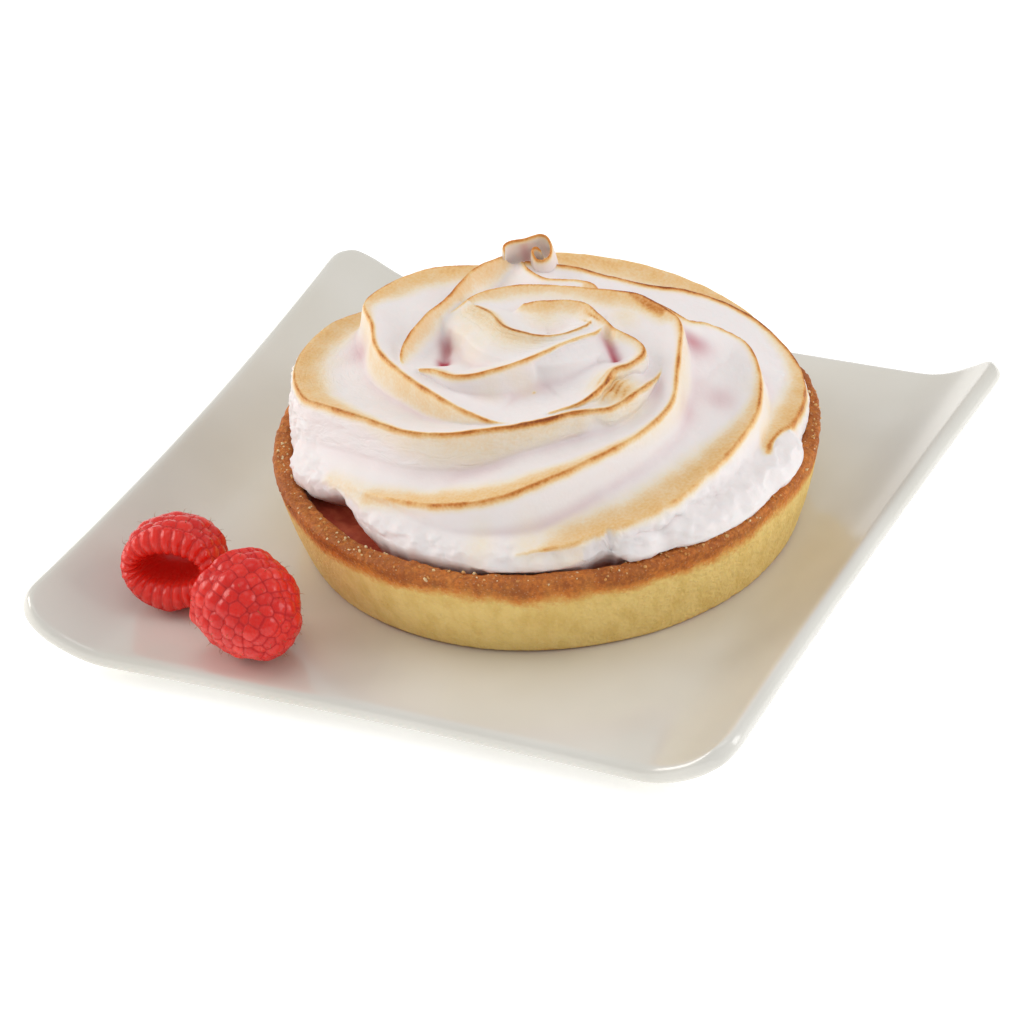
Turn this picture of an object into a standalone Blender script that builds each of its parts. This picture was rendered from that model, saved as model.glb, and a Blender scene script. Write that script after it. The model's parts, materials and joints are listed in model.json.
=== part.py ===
"""Raspberry meringue tartlet served on a square dish with two raspberries.

The tartlet is a flared shortcrust case, a raspberry filling and a piped
meringue rose. Lengths are in millimetres until a mesh is made, which is in
metres. The origin is under the middle of the dish, X runs across the dish
between its two curled sides, Y runs to its back edge and Z is up.
"""
from dataclasses import dataclass
from math import cos, pi, radians, sin

import bpy
import numpy as np
from mathutils import Matrix, Vector

MM = 0.001
GAP = 0.3

# Dish: a square porcelain sheet, its left and right sides curled up.
DISH_HALF_X = 67.5
DISH_HALF_Y = 65.8
DISH_CORNER = 6.0
DISH_FLARE = 1.5
DISH_BOW = 1.5
DISH_THICK = 3.4
CURL_START = 52.5
CURL_LIFT = 6.3
CURL_CORNER_LIFT = 1.1
CURL_POWER = 1.6
FOOT_DROP = 2.6
FOOT_HALF_X = 51.5
FOOT_HALF_Y = 59.5
FOOT_CORNER = 8.0
FOOT_RINGS = ((-1.2, 0.0), (0.0, 0.5), (0.5, FOOT_DROP))
UNDER_INSETS = (4.0, 1.6)
EDGE_TURNS = (-60.0, -20.0, 20.0, 60.0)
UPPER_INSETS = (0.4, 4.5, 9.5, 15.0)
DISH_TOP = DISH_THICK + FOOT_DROP

# Tartlet: its axis on the dish and the turn of the rose about that axis.
TART_X = 5.4
TART_Y = 1.5
ROSE_TURN = -28.0
CASE_BASE_R = 45.6
CASE_RIM_R = 50.0
CASE_HEIGHT = 17.8
CASE_FLOOR = 4.0
CASE_WALL = 3.9
RIM_WAVE = 0.2
FILL_TOP = 14.4

# Meringue: the crown is the smooth dome that the crests of the rose lie on.
CROWN_TOP = 40.5
CROWN_FALL = 15.0
CROWN_TILT = 2.8
CROWN_TILT_BEARING = 135.0
CROWN_R = 46.0
CROWN_POWER = 2.6
CORE_DIP = 7.0
CORE_EDGE_DIP = 9.0
OUTER_DIP = 6.2
OUTER_FALL = 0.6
OUTER_REACH = 2.6
INNER_DIP = 6.0
INNER_REACH = 6.0
CREST_ROUND = 0.6
VALLEY_ROUND = 0.5
SEAT_Z = 18.4
SKIRT_HEIGHT = 4.2
SKIRT_WIDTH = 5.0
EDGE_SLOPE = 5.0
CREST_SHIFT = 0.5

# Raspberries: a thimble of drupelets.
BERRY_R = 8.8
DRUPELET_R = 2.15
HOLLOW_WIDE = 6.4
HOLLOW_HIGH = 3.8
CLOSED_LENGTH = 15.4
OPEN_LENGTH = 15.2
OPEN_SQUASH = 0.86
BERRY_FLARE = 0.14
BERRY_BLUNT = 0.55
BERRY_RISE = 1.15
DRUPELET_ROWS = ((0.06, 14), (0.26, 14), (0.45, 13), (0.62, 11), (0.77, 8), (0.9, 5))


@dataclass(frozen=True)
class Notch:
    """A stretch of the lower edge that lifts clear or is hollow underneath."""

    bearing: float
    width: float
    lift: float = 0.0
    hollow: float = 0.0


EDGE_RADII = (
    (0, 46.5), (30, 46.8), (60, 47.6), (80, 48.4), (96, 48.0), (106, 47.0), (112, 49.3),
    (121, 49.7), (126, 48.7), (136, 49.8), (144, 49.6), (151, 49.1), (156, 47.1), (161, 48.6),
    (165, 48.2), (168, 45.7), (173, 45.7), (177, 46.2), (184, 46.9), (195, 47.1), (201, 45.8),
    (213, 45.7), (225, 44.9), (235, 43.6), (241, 43.2), (247, 44.6), (252, 46.2), (258, 47.6),
    (266, 45.9), (275, 46.6), (284, 48.0), (300, 47.6), (330, 46.8), (360, 46.5),
)
NOTCHES = (Notch(241.0, 7.0, lift=3.4), Notch(243.0, 11.0, hollow=6.0), Notch(170.5, 5.0, hollow=1.5))


@dataclass(frozen=True)
class Arm:
    """A crest of the rose: knots of clockwise bearing, radius and lift above the crown."""

    name: str
    knots: tuple


ARMS = (
    Arm("front_shelf", (
        (312, 42.4, -2.0), (302, 44.2, 0), (291, 45.4, 0.6), (280, 44.6, 0.8), (268, 42.4, 0.8),
        (259, 39.1, 0.5), (246, 35.3, 0.2), (230, 32.9, 0), (218, 31.0, 0), (204, 28.4, 0),
        (188, 26.4, 0), (170, 25.1, 0), (154, 26.0, 0), (142, 25.4, 0), (125, 24.8, -1),
        (114, 24.3, -3),
    )),
    Arm("long_arm", (
        (300, 18.0, -1.5), (306, 16.2, -0.2), (323, 15.4, 0.2), (351, 13.9, 0), (21, 12.9, 0),
        (47, 14.7, 0.2), (67, 19.6, 0.8), (84, 23.3, 1.1), (93, 25.0, 1.2), (111, 25.8, 0.8),
        (120, 27.0, 0.5), (134, 30.2, 0), (149, 32.1, 0), (162, 33.4, 0), (175, 35.3, 0),
        (184, 37.0, 0), (194, 38.8, -0.8), (204, 39.8, -1.8), (215, 40.2, -3.4),
        (228, 40.7, -5.2), (240, 42.3, -6.6), (250, 44.9, -7.4), (260, 46.4, -8.2),
    )),
    Arm("right_shelf", (
        (53, 20.8, -3.0), (60, 20.8, -1.2), (69, 21.4, 0), (80, 23.6, 0.5), (86, 26.8, 0.3),
        (85, 30.4, 0.2), (86, 34.2, 0.2), (88, 36.8, 0.1), (94, 38.1, 0), (103, 39.3, 0),
        (114, 40.4, 0), (126, 41.0, 0), (137, 41.8, 0), (149, 43.1, 0), (158, 43.8, -0.3),
        (166, 44.2, -0.8), (177, 44.8, -2.0), (189, 45.5, -3.4),
    )),
    Arm("back_wall", (
        (358, 25.6, 0), (10, 25.6, -0.9), (20, 26.1, -1.6), (30, 28.1, -2.8), (40, 31.6, -3.7),
        (50, 36.1, -2.6), (60, 41.1, -1.5), (70, 43.9, -0.8), (84, 46.9, -0.7), (94, 46.9, -0.8),
        (104, 45.7, -1.6), (110, 44.3, -2.6), (115, 43.8, -3.6), (119, 44.6, -5.4),
    )),
    Arm("back_rim", (
        (2, 34.0, -0.2), (26, 37.0, -0.9), (45, 41.2, -1.3), (62, 44.4, -1.5),
    )),
    Arm("left_wall", (
        (342, 31.4, -0.6), (331, 34.8, 0.8), (323, 36.2, 1.4), (314, 36.8, 1.8),
        (304, 36.4, 1.8), (289, 30.6, 1.4), (273, 28.3, 1.0), (252, 25.6, 0.7), (225, 24.8, 0.4),
        (205, 26.0, 0), (194, 26.0, -1.5),
    )),
    Arm("inner_left", (
        (350, 26.3, 1.6), (338, 24.2, 1.4), (325, 21.0, 1.2), (307, 18.9, 1.0), (290, 20.2, 0.9),
        (275, 22.4, 0.6), (263, 24.1, 0.3), (254, 25.0, -1.0),
    )),
    Arm("bud_fold", (
        (345, 7.6, -0.6), (7, 6.7, 0), (59, 9.1, 0.4), (91, 10.8, 0.6), (110, 14.3, 0.6),
        (114, 18.4, 0.5), (119, 20.4, 0.4), (129, 20.4, 0.3), (141, 19.4, 0.3), (153, 21.6, 0.2),
        (166, 23.6, 0), (178, 24.0, -0.8),
    )),
    Arm("bud_tip", (
        (309, 12.6, 0.6), (298, 8.2, 1.0), (246, 5.2, 1.4), (179, 4.9, 1.0), (142, 6.1, 0.6),
        (102, 8.4, 0), (80, 10.9, -1.5),
    )),
    Arm("bud_front", (
        (251, 22.2, -0.6), (243, 20.9, 0.2), (229, 19.6, 0.6), (216, 16.4, 0.6),
        (194, 11.6, 0.5), (157, 8.8, 0.3), (111, 11.0, 0), (95, 12.4, -1.5),
    )),
    Arm("petal_edge", (
        (355, 26.5, 0.2), (357, 21.0, 0), (7, 16.4, -0.3), (24, 16.4, -0.2), (37, 16.6, 0),
        (43, 16.8, -1.2),
    )),
    Arm("tail_curl", (
        (349, 24.6, 2.4), (354, 26.0, 4.8), (3, 26.6, 6.0), (10, 25.0, 5.0), (7, 22.6, 2.6),
    )),
)

MERINGUE_BEARINGS = 96
MERINGUE_RINGS = 32
CASE_SEGMENTS = 64


def polar(bearing, radius):
    """Plan position of a point at a clockwise bearing from the rose's own back."""
    return radius * np.sin(np.radians(bearing)), radius * np.cos(np.radians(bearing))


def material(name, colour, roughness, metallic=0.0):
    """A Principled material with one plain colour."""
    mat = bpy.data.materials.new(name)
    mat.use_nodes = True
    shader = mat.node_tree.nodes["Principled BSDF"]
    shader.inputs["Base Color"].default_value = (*colour, 1.0)
    shader.inputs["Roughness"].default_value = roughness
    shader.inputs["Metallic"].default_value = metallic
    mat.diffuse_color = (*colour, 1.0)
    return mat


def add_object(name, points, faces, mat, place=None):
    """Make one smooth object from points in millimetres, placed by a matrix in metres."""
    mesh = bpy.data.meshes.new(name)
    mesh.from_pydata([tuple(float(v) * MM for v in p) for p in points], [], faces)
    mesh.validate()
    mesh.update()
    mesh.shade_smooth()
    mesh.set_sharp_from_angle(angle=radians(50))
    mesh.materials.append(mat)
    obj = bpy.data.objects.new(name, mesh)
    bpy.context.collection.objects.link(obj)
    if place is not None:
        obj.matrix_world = place
    return obj


def ring_faces(rings, segments):
    """Quads that join rings of points, each ring joined to the next."""
    faces = []
    for ring in range(rings - 1):
        low = ring * segments
        for k in range(segments):
            nxt = (k + 1) % segments
            faces.append((low + k, low + nxt, low + segments + nxt, low + segments + k))
    return faces


def lathe(name, rings, mat, place=None):
    """Close a stack of rings with a point at each end; the rings run bottom, side, top."""
    segments = len(rings[0])
    points = [p for ring in rings for p in ring]
    faces = ring_faces(len(rings), segments)
    first = len(points)
    points.append(tuple(np.mean(rings[0], axis=0)))
    points.append(tuple(np.mean(rings[-1], axis=0)))
    last = (len(rings) - 1) * segments
    for k in range(segments):
        nxt = (k + 1) % segments
        faces.append((first, nxt, k))
        faces.append((first + 1, last + k, last + nxt))
    return add_object(name, points, faces, mat, place)


# --- dish -------------------------------------------------------------------
def dish_outline(half_x, half_y, corner, corner_steps=5, side_steps=8):
    """Points of a rounded rectangle, anticlockwise from its right side."""
    points = []
    centres = ((1, 1, 0.0), (-1, 1, 90.0), (-1, -1, 180.0), (1, -1, 270.0))
    for index, (sx, sy, turn) in enumerate(centres):
        cx, cy = sx * (half_x - corner), sy * (half_y - corner)
        for step in range(corner_steps + 1):
            angle = radians(turn + 90.0 * step / corner_steps)
            points.append((cx + corner * cos(angle), cy + corner * sin(angle)))
        nx, ny, next_turn = centres[(index + 1) % 4]
        angle = radians(next_turn)
        end = (nx * (half_x - corner) + corner * cos(angle), ny * (half_y - corner) + corner * sin(angle))
        begin = points[-1]
        for step in range(1, side_steps):
            t = step / side_steps
            points.append((begin[0] + (end[0] - begin[0]) * t, begin[1] + (end[1] - begin[1]) * t))
    return np.array(points)


def dish_shape(flat, height):
    """Bend flat outline points: flare the corners, bow the open edges and curl the sides."""
    x, y = flat[:, 0], flat[:, 1]
    along = (y / DISH_HALF_Y) ** 2
    across = (x / DISH_HALF_X) ** 2
    curl = (np.clip(np.abs(x) - CURL_START, 0, None) / (DISH_HALF_X - CURL_START)) ** CURL_POWER
    lift = (CURL_LIFT + CURL_CORNER_LIFT * along) * curl
    bent_x = x * (1 + DISH_FLARE * along / DISH_HALF_X)
    bent_y = y * (1 - DISH_BOW * np.clip(1 - across, 0, None) / DISH_HALF_Y)
    return np.stack([bent_x, bent_y, height + lift], axis=1)


def build_dish():
    """A solid foot slab, the underside, a half-round edge and the upper side of the dish."""
    mid = DISH_TOP - DISH_THICK / 2
    half = DISH_THICK / 2
    rings = []
    for grow, z in FOOT_RINGS:
        foot = dish_outline(FOOT_HALF_X + grow, FOOT_HALF_Y + grow, FOOT_CORNER)
        rings.append(np.column_stack([foot, np.full(len(foot), z)]))
    for inset in UNDER_INSETS:
        flat = dish_outline(DISH_HALF_X - inset, DISH_HALF_Y - inset, DISH_CORNER)
        rings.append(dish_shape(flat, mid - half))
    for angle in EDGE_TURNS:
        out = half * cos(radians(angle))
        flat = dish_outline(DISH_HALF_X + out, DISH_HALF_Y + out, DISH_CORNER + out)
        rings.append(dish_shape(flat, mid + half * sin(radians(angle))))
    for inset in UPPER_INSETS:
        flat = dish_outline(DISH_HALF_X - inset, DISH_HALF_Y - inset, DISH_CORNER)
        rings.append(dish_shape(flat, mid + half))
    stack = [[tuple(p) for p in ring] for ring in rings]
    return lathe("dish", stack, material("porcelain", (0.86, 0.86, 0.82), 0.15))


# --- case and filling -------------------------------------------------------
def tart_place():
    """Where the tartlet's own frame stands on the dish."""
    return Matrix.Translation(Vector((TART_X, TART_Y, DISH_TOP)) * MM)


def turned_ring(radius, height, segments=CASE_SEGMENTS, wave=0.0):
    """A horizontal ring whose height may wander a little."""
    ring = []
    for k in range(segments):
        angle = 2 * pi * k / segments
        z = height + wave * (sin(5 * angle) + sin(13 * angle + 1.0)) / 2
        ring.append((radius * cos(angle), radius * sin(angle), z))
    return ring


def build_case():
    """The baked shortcrust case: a flared wall with a rounded rim over a flat floor."""
    inner = CASE_RIM_R - CASE_WALL
    profile = (
        (CASE_BASE_R - 0.6, GAP, 0.0), (CASE_BASE_R, GAP + 0.6, 0.0),
        ((CASE_BASE_R + CASE_RIM_R) / 2 + 0.3, CASE_HEIGHT / 2, 0.0),
        (CASE_RIM_R - 0.1, CASE_HEIGHT - 2.0, 0.0),
        (CASE_RIM_R, CASE_HEIGHT - 0.7, RIM_WAVE), (CASE_RIM_R - 0.9, CASE_HEIGHT, RIM_WAVE),
        (inner + 0.7, CASE_HEIGHT, RIM_WAVE), (inner, CASE_HEIGHT - 0.8, RIM_WAVE),
        (inner - 1.0, CASE_FLOOR + 2.0, 0.0), (inner - 3.0, CASE_FLOOR, 0.0),
    )
    rings = [turned_ring(r, z, wave=w) for r, z, w in profile]
    return lathe("case", rings, material("shortcrust", (0.72, 0.42, 0.13), 0.75), tart_place())


def build_filling():
    """The raspberry filling, from the floor of the case up to its own level."""
    inner = CASE_RIM_R - CASE_WALL
    profile = ((inner - 3.8, CASE_FLOOR + GAP), (inner - 1.5, CASE_FLOOR + 2.4),
               (inner - 0.8, FILL_TOP - 0.4), (inner - 1.2, FILL_TOP))
    rings = [turned_ring(r, z, 48) for r, z in profile]
    return lathe("filling", rings, material("raspberry_filling", (0.16, 0.01, 0.02), 0.3), tart_place())


# --- meringue ---------------------------------------------------------------
def crown(x, y):
    """Height of the smooth dome through the crests."""
    radius = np.hypot(x, y)
    bearing = np.degrees(np.arctan2(x, y))
    fall = CROWN_FALL + CROWN_TILT * np.cos(np.radians(bearing - CROWN_TILT_BEARING))
    return CROWN_TOP - fall * (radius / CROWN_R) ** CROWN_POWER


def arm_curve(arm, steps=8):
    """Catmull-Rom points through an arm's knots: plan x, plan y and lift."""
    knots = np.array([(*polar(b, r + CREST_SHIFT), lift) for b, r, lift in arm.knots])
    padded = np.vstack([2 * knots[0] - knots[1], knots, 2 * knots[-1] - knots[-2]])
    points = []
    for k in range(1, len(padded) - 2):
        p0, p1, p2, p3 = padded[k - 1:k + 3]
        for t in np.linspace(0, 1, steps, endpoint=False):
            points.append(0.5 * (2 * p1 + (p2 - p0) * t + (2 * p0 - 5 * p1 + 4 * p2 - p3) * t * t
                                 + (3 * p1 - p0 - 3 * p2 + p3) * t ** 3))
    points.append(padded[-2])
    return np.array(points)


def nearest_on_curve(x, y, curve):
    """Signed distance (outer side positive) and lift of the nearest point of an arm."""
    runs = np.diff(curve[:, :2], axis=0)
    turned = runs[:, 0] * curve[:-1, 1] - runs[:, 1] * curve[:-1, 0]
    hand = 1.0 if turned.sum() > 0 else -1.0
    best = np.full(x.shape, np.inf)
    side = np.zeros(x.shape)
    lift = np.zeros(x.shape)
    for a, b in zip(curve[:-1], curve[1:]):
        run = b[:2] - a[:2]
        length = np.hypot(*run)
        t = np.clip(((x - a[0]) * run[0] + (y - a[1]) * run[1]) / length ** 2, 0, 1)
        dx, dy = x - a[0] - t * run[0], y - a[1] - t * run[1]
        dist = np.hypot(dx, dy)
        closer = dist < best
        normal = hand * np.array((-run[1], run[0])) / length
        best = np.where(closer, dist, best)
        side = np.where(closer, np.sign(dx * normal[0] + dy * normal[1]), side)
        lift = np.where(closer, a[2] + t * (b[2] - a[2]), lift)
    return best * side, lift


def lower_edge(bearing):
    """Plan radius, lift and hollow of the meringue's ragged lower edge."""
    radius = np.interp(bearing, *np.array(EDGE_RADII).T)
    lift, hollow = np.zeros_like(radius), np.zeros_like(radius)
    for notch in NOTCHES:
        off = (bearing - notch.bearing + 180) % 360 - 180
        share = np.exp(-(off / notch.width) ** 2)
        lift = lift + notch.lift * share
        hollow = hollow + notch.hollow * share
    return radius, lift, hollow


def rose(x, y):
    """Height of the rose at plan points: the highest of its layers, with rounded valleys."""
    top = crown(x, y)
    layers = [top - CORE_DIP - CORE_EDGE_DIP * (np.hypot(x, y) / CROWN_R) ** 6]
    for arm in ARMS:
        signed, lift = nearest_on_curve(x, y, arm_curve(arm))
        dist = np.sqrt(signed ** 2 + CREST_ROUND ** 2) - CREST_ROUND
        outer = OUTER_DIP * (1 - np.exp(-dist / OUTER_REACH)) + OUTER_FALL * dist
        inner = INNER_DIP * (1 - np.exp(-dist / INNER_REACH))
        layers.append(top + lift - np.where(signed > 0, outer, inner))
    edge, clear, _ = lower_edge(np.degrees(np.arctan2(x, y)) % 360)
    into = np.clip(edge - np.hypot(x, y), 0, None)
    swell = np.sqrt(1 - np.clip(1 - into / SKIRT_WIDTH, 0, 1) ** 2)
    layers.append(SEAT_Z + 0.6 * clear + (SKIRT_HEIGHT - clear) * swell)
    peak = np.max(layers, axis=0)
    total = sum(np.exp((layer - peak) / VALLEY_ROUND) for layer in layers)
    height = peak + VALLEY_ROUND * np.log(total)
    return np.minimum(height, SEAT_Z + 0.8 + clear + EDGE_SLOPE * into)


def even_rings(bearings, rings):
    """Radii of the grid: on each bearing they are evenly spaced along the surface."""
    fine = 240
    share = np.linspace(0, 1, fine)
    radii = share[None, :] * lower_edge(bearings)[0][:, None]
    x, y = polar(bearings[:, None], radii)
    height = rose(x, y)
    step = np.hypot(np.diff(radii, axis=1), np.diff(height, axis=1))
    travelled = np.concatenate([np.zeros((len(bearings), 1)), np.cumsum(step, axis=1)], axis=1)
    travelled = (travelled + np.roll(travelled, 1, axis=0) + np.roll(travelled, -1, axis=0)) / 3
    spaced = np.empty((len(bearings), rings))
    for row in range(len(bearings)):
        wanted = np.linspace(0, travelled[row, -1], rings + 1)[1:]
        spaced[row] = np.interp(wanted, travelled[row], radii[row])
    return spaced


def seat_height(radius):
    """Underside of the meringue: on the filling inside the case, on the rim beyond."""
    inner = CASE_RIM_R - CASE_WALL
    on_rim = np.clip((radius - (inner - 1.3)) / 0.8, 0, 1)
    return FILL_TOP + GAP + on_rim * (SEAT_Z - FILL_TOP - GAP)


def build_meringue():
    """The piped rose over the filling, closed underneath."""
    bearings = -np.arange(MERINGUE_BEARINGS) * 360.0 / MERINGUE_BEARINGS % 360
    radii = even_rings(bearings, MERINGUE_RINGS)
    edge, clear, hollow = lower_edge(bearings)
    inner = CASE_RIM_R - CASE_WALL
    foot = np.minimum(edge - 1.0, inner - 1.4) - hollow
    shoulder = np.minimum(edge - 0.6, inner - 0.6)
    free = np.clip(clear, 0, 1)
    lip = seat_height(edge) * (1 - free) + (SEAT_Z + clear) * free
    rings = []
    for radius, height in ((foot * 0.6, seat_height(foot * 0.6)), (foot, seat_height(foot)),
                           (shoulder, np.minimum(lip, seat_height(shoulder) + clear)),
                           (edge - 0.3, lip)):
        x, y = polar(bearings, radius)
        rings.append(np.stack([x, y, height], axis=1))
    for k in range(MERINGUE_RINGS - 1, -1, -1):
        x, y = polar(bearings, radii[:, k])
        rings.append(np.stack([x, y, rose(x, y)], axis=1))
    turn = Matrix.Rotation(radians(-ROSE_TURN), 4, "Z")
    stack = [[tuple(p) for p in ring] for ring in rings]
    return lathe("meringue", stack, material("meringue", (0.87, 0.76, 0.72), 0.8), tart_place() @ turn)


# --- raspberries ------------------------------------------------------------
def berry_profile(t, length):
    """Radius and height of a thimble from its open end (0) to its tip (1)."""
    angle = pi / 2 * t
    swell = 1 - BERRY_FLARE + BERRY_FLARE * sin(pi * min(t * 1.6, 1.0))
    return BERRY_R * swell * cos(angle) ** BERRY_BLUNT, length * sin(angle) ** BERRY_RISE


def drupelets(length):
    """Centres and sizes of the drupelets, in staggered rows from the open end to the tip."""
    centres = []
    for row, (t, count) in enumerate(DRUPELET_ROWS):
        radius, height = berry_profile(t, length)
        for k in range(count):
            angle = 2 * pi * (k + 0.5 * (row % 2)) / count
            centres.append((radius * cos(angle) * 0.9, radius * sin(angle) * 0.9, height * 0.96))
    centres.append((0.0, 0.0, length * 0.95))
    return np.array(centres)


def bulge(point, centres):
    """Push a point of the thimble out to the nearest drupelet's round surface."""
    origin = np.array((0.0, 0.0, min(point[2], 6.0)))
    ray = np.array(point) - origin
    reach = np.linalg.norm(ray)
    ray = ray / reach
    best = reach * 0.9
    for centre in centres:
        along = np.dot(centre - origin, ray)
        off = np.dot(centre - origin, centre - origin) - along ** 2
        if off < DRUPELET_R ** 2:
            best = max(best, along + (DRUPELET_R ** 2 - off) ** 0.5)
    return tuple(origin + best * ray)


def berry_ring(segments, wide, high, along):
    """An oval ring across the axis of a berry."""
    turns = [2 * pi * k / segments for k in range(segments)]
    return [(wide * cos(turn), high * sin(turn), along) for turn in turns]


def build_berry(name, length, place, hollow):
    """One raspberry about local Z, its tip up; a hollow one is open at its lower end."""
    segments, rows = 40, 17
    centres = drupelets(length)
    rings = []
    if hollow:
        for depth, share in ((0.66, 0.35), (0.55, 0.7), (0.3, 0.88), (-0.03, 1.0)):
            rings.append(berry_ring(segments, HOLLOW_WIDE * share, HOLLOW_HIGH * share, length * depth))
    else:
        rings.append(berry_ring(segments, BERRY_R * 0.5, BERRY_R * 0.5, -0.8))
    for row in range(rows):
        t = 0.97 * row / (rows - 1)
        radius, height = berry_profile(t, length)
        rings.append([bulge(point, centres) for point in berry_ring(segments, radius, radius, height)])
    berry = lathe(name, rings, material(name, (0.62, 0.03, 0.05), 0.35))
    berry.data.transform(place)
    lowest = min(vertex.co.z for vertex in berry.data.vertices)
    berry.data.transform(Matrix.Translation((0, 0, (DISH_TOP + GAP) * MM - lowest)))
    return berry


def berry_place(x, y, turn, tip, squash=1.0):
    """Lay a berry over a spot of the dish: tip its axis from upright, turn it, flatten it."""
    lay = Matrix.Rotation(radians(turn), 4, "Z") @ Matrix.Rotation(radians(tip), 4, "X")
    flat = Matrix.Scale(squash, 4, Vector((0, 0, 1)))
    return Matrix.Translation(Vector((x, y, 0)) * MM) @ flat @ lay


def main():
    """Clear the scene and build every piece."""
    for obj in list(bpy.data.objects):
        bpy.data.objects.remove(obj, do_unlink=True)
    build_dish()
    build_case()
    build_filling()
    build_meringue()
    build_berry("raspberry_closed", CLOSED_LENGTH, berry_place(-31.4, -53.7, 60.0, 98.0), False)
    build_berry("raspberry_open", OPEN_LENGTH, berry_place(-46.4, -50.5, 10.0, -104.0, OPEN_SQUASH), True)


main()
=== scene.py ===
"""Looks of a raspberry meringue tartlet on a square porcelain dish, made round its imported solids.

Lengths are in millimetres until a mesh is made. The origin is under the middle of the dish,
X runs across it between the curled sides, Y runs to its back edge and Z is up.
"""
from __future__ import annotations

import json
import logging
from dataclasses import dataclass
from enum import Enum
from math import cos, pi, radians, sin, sqrt
from random import Random
from typing import Any, Iterable, Sequence

import bpy
import numpy as np
from mathutils import Matrix, Vector, noise

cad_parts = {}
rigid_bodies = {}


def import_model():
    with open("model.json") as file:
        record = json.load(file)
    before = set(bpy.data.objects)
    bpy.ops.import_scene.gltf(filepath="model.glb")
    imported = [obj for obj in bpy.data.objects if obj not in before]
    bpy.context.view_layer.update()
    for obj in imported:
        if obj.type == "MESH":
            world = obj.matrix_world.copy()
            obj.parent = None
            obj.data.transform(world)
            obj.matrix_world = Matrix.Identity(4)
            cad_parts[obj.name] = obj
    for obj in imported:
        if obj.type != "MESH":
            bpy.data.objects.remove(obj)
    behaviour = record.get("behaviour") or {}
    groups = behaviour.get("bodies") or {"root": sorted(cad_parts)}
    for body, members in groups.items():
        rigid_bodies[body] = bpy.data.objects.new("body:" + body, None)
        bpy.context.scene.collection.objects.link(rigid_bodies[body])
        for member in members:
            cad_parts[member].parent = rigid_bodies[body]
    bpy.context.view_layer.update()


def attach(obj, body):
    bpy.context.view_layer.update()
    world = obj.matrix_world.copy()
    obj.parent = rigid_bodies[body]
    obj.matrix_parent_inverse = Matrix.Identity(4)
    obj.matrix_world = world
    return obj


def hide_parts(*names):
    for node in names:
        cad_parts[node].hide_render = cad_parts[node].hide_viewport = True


LOG = logging.getLogger("tartlet")
MM = 0.001
DISH_TOP = 6.0
TART_X = 5.4
TART_Y = 1.5
SEAT = (TART_X, TART_Y, DISH_TOP)
ROSE_TURN = -28.0


# --- helpers ------------------------------------------------------------------
def linear(code: str) -> tuple[float, float, float, float]:
    """Turn an sRGB hex colour into linear RGBA.

    Args:
        code: Six hex digits after a hash sign.

    Returns:
        The linear red, green and blue, with an alpha of 1.
    """
    parts = [int(code[k:k + 2], 16) / 255 for k in (1, 3, 5)]
    red, green, blue = (c / 12.92 if c <= 0.04045 else ((c + 0.055) / 1.055) ** 2.4 for c in parts)
    return red, green, blue, 1.0


def per(length: float) -> float:
    """Pattern scale for Object coordinates from a real wavelength in millimetres."""
    return 1.0 / (length * MM)


def add_node(tree: bpy.types.NodeTree, kind: str, settings: dict[Any, Any] | None = None,
             links: dict[Any, bpy.types.NodeSocket] | None = None) -> bpy.types.Node:
    """Add one shader node with its settings and links.

    Args:
        tree: Node tree that takes the node.
        kind: Blender's type name of the node.
        settings: Lower-case keys are the node's own settings, the others name or number its
            inputs, and "stops" holds a colour ramp's positions and colours.
        links: Input name or number to the socket that feeds it.

    Returns:
        The new node.
    """
    node = tree.nodes.new(kind)
    for key, value in (settings or {}).items():
        if key == "stops":
            ramp = node.color_ramp
            while len(ramp.elements) < len(value):
                ramp.elements.new(1.0)
            for element, (place, colour) in zip(ramp.elements, value):
                element.position = place
                element.color = linear(colour) if isinstance(colour, str) else (colour, colour, colour, 1.0)
        elif isinstance(key, str) and key[0].islower():
            setattr(node, key, value)
        else:
            node.inputs[key].default_value = value
    for key, socket in (links or {}).items():
        tree.links.new(socket, node.inputs[key])
    return node


def only(obj: bpy.types.Object) -> None:
    """Deselect everything but one object and make it active."""
    for other in bpy.context.view_layer.objects:
        other.select_set(False)
    obj.select_set(True)
    bpy.context.view_layer.objects.active = obj


def settle(obj: bpy.types.Object) -> bpy.types.Object:
    """Put an object's place into its mesh, so that the object itself is at the origin."""
    only(obj)
    bpy.ops.object.transform_apply(location=True, rotation=True, scale=True)
    return obj


def apply_modifiers(obj: bpy.types.Object) -> None:
    """Apply every modifier of an object in order."""
    only(obj)
    for modifier in list(obj.modifiers):
        bpy.ops.object.modifier_apply(modifier=modifier.name)


def read_points(obj: bpy.types.Object) -> np.ndarray:
    """Vertex positions of a mesh in millimetres."""
    flat = np.empty(len(obj.data.vertices) * 3)
    obj.data.vertices.foreach_get("co", flat)
    return flat.reshape(-1, 3) / MM


def write_points(obj: bpy.types.Object, points: np.ndarray) -> None:
    """Set the vertex positions of a mesh from millimetres."""
    obj.data.vertices.foreach_set("co", (points * MM).ravel())
    obj.data.update()


def point_normals(obj: bpy.types.Object) -> np.ndarray:
    """Vertex normals of a mesh."""
    flat = np.empty(len(obj.data.vertices) * 3)
    obj.data.vertices.foreach_get("normal", flat)
    return flat.reshape(-1, 3)


def store(obj: bpy.types.Object, name: str, values: np.ndarray) -> None:
    """Keep one number or one vector for each vertex as a named attribute."""
    kind, key = ("FLOAT", "value") if values.ndim == 1 else ("FLOAT_VECTOR", "vector")
    attribute = obj.data.attributes.new(name, kind, "POINT")
    attribute.data.foreach_set(key, values.astype(np.float32).ravel())


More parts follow.
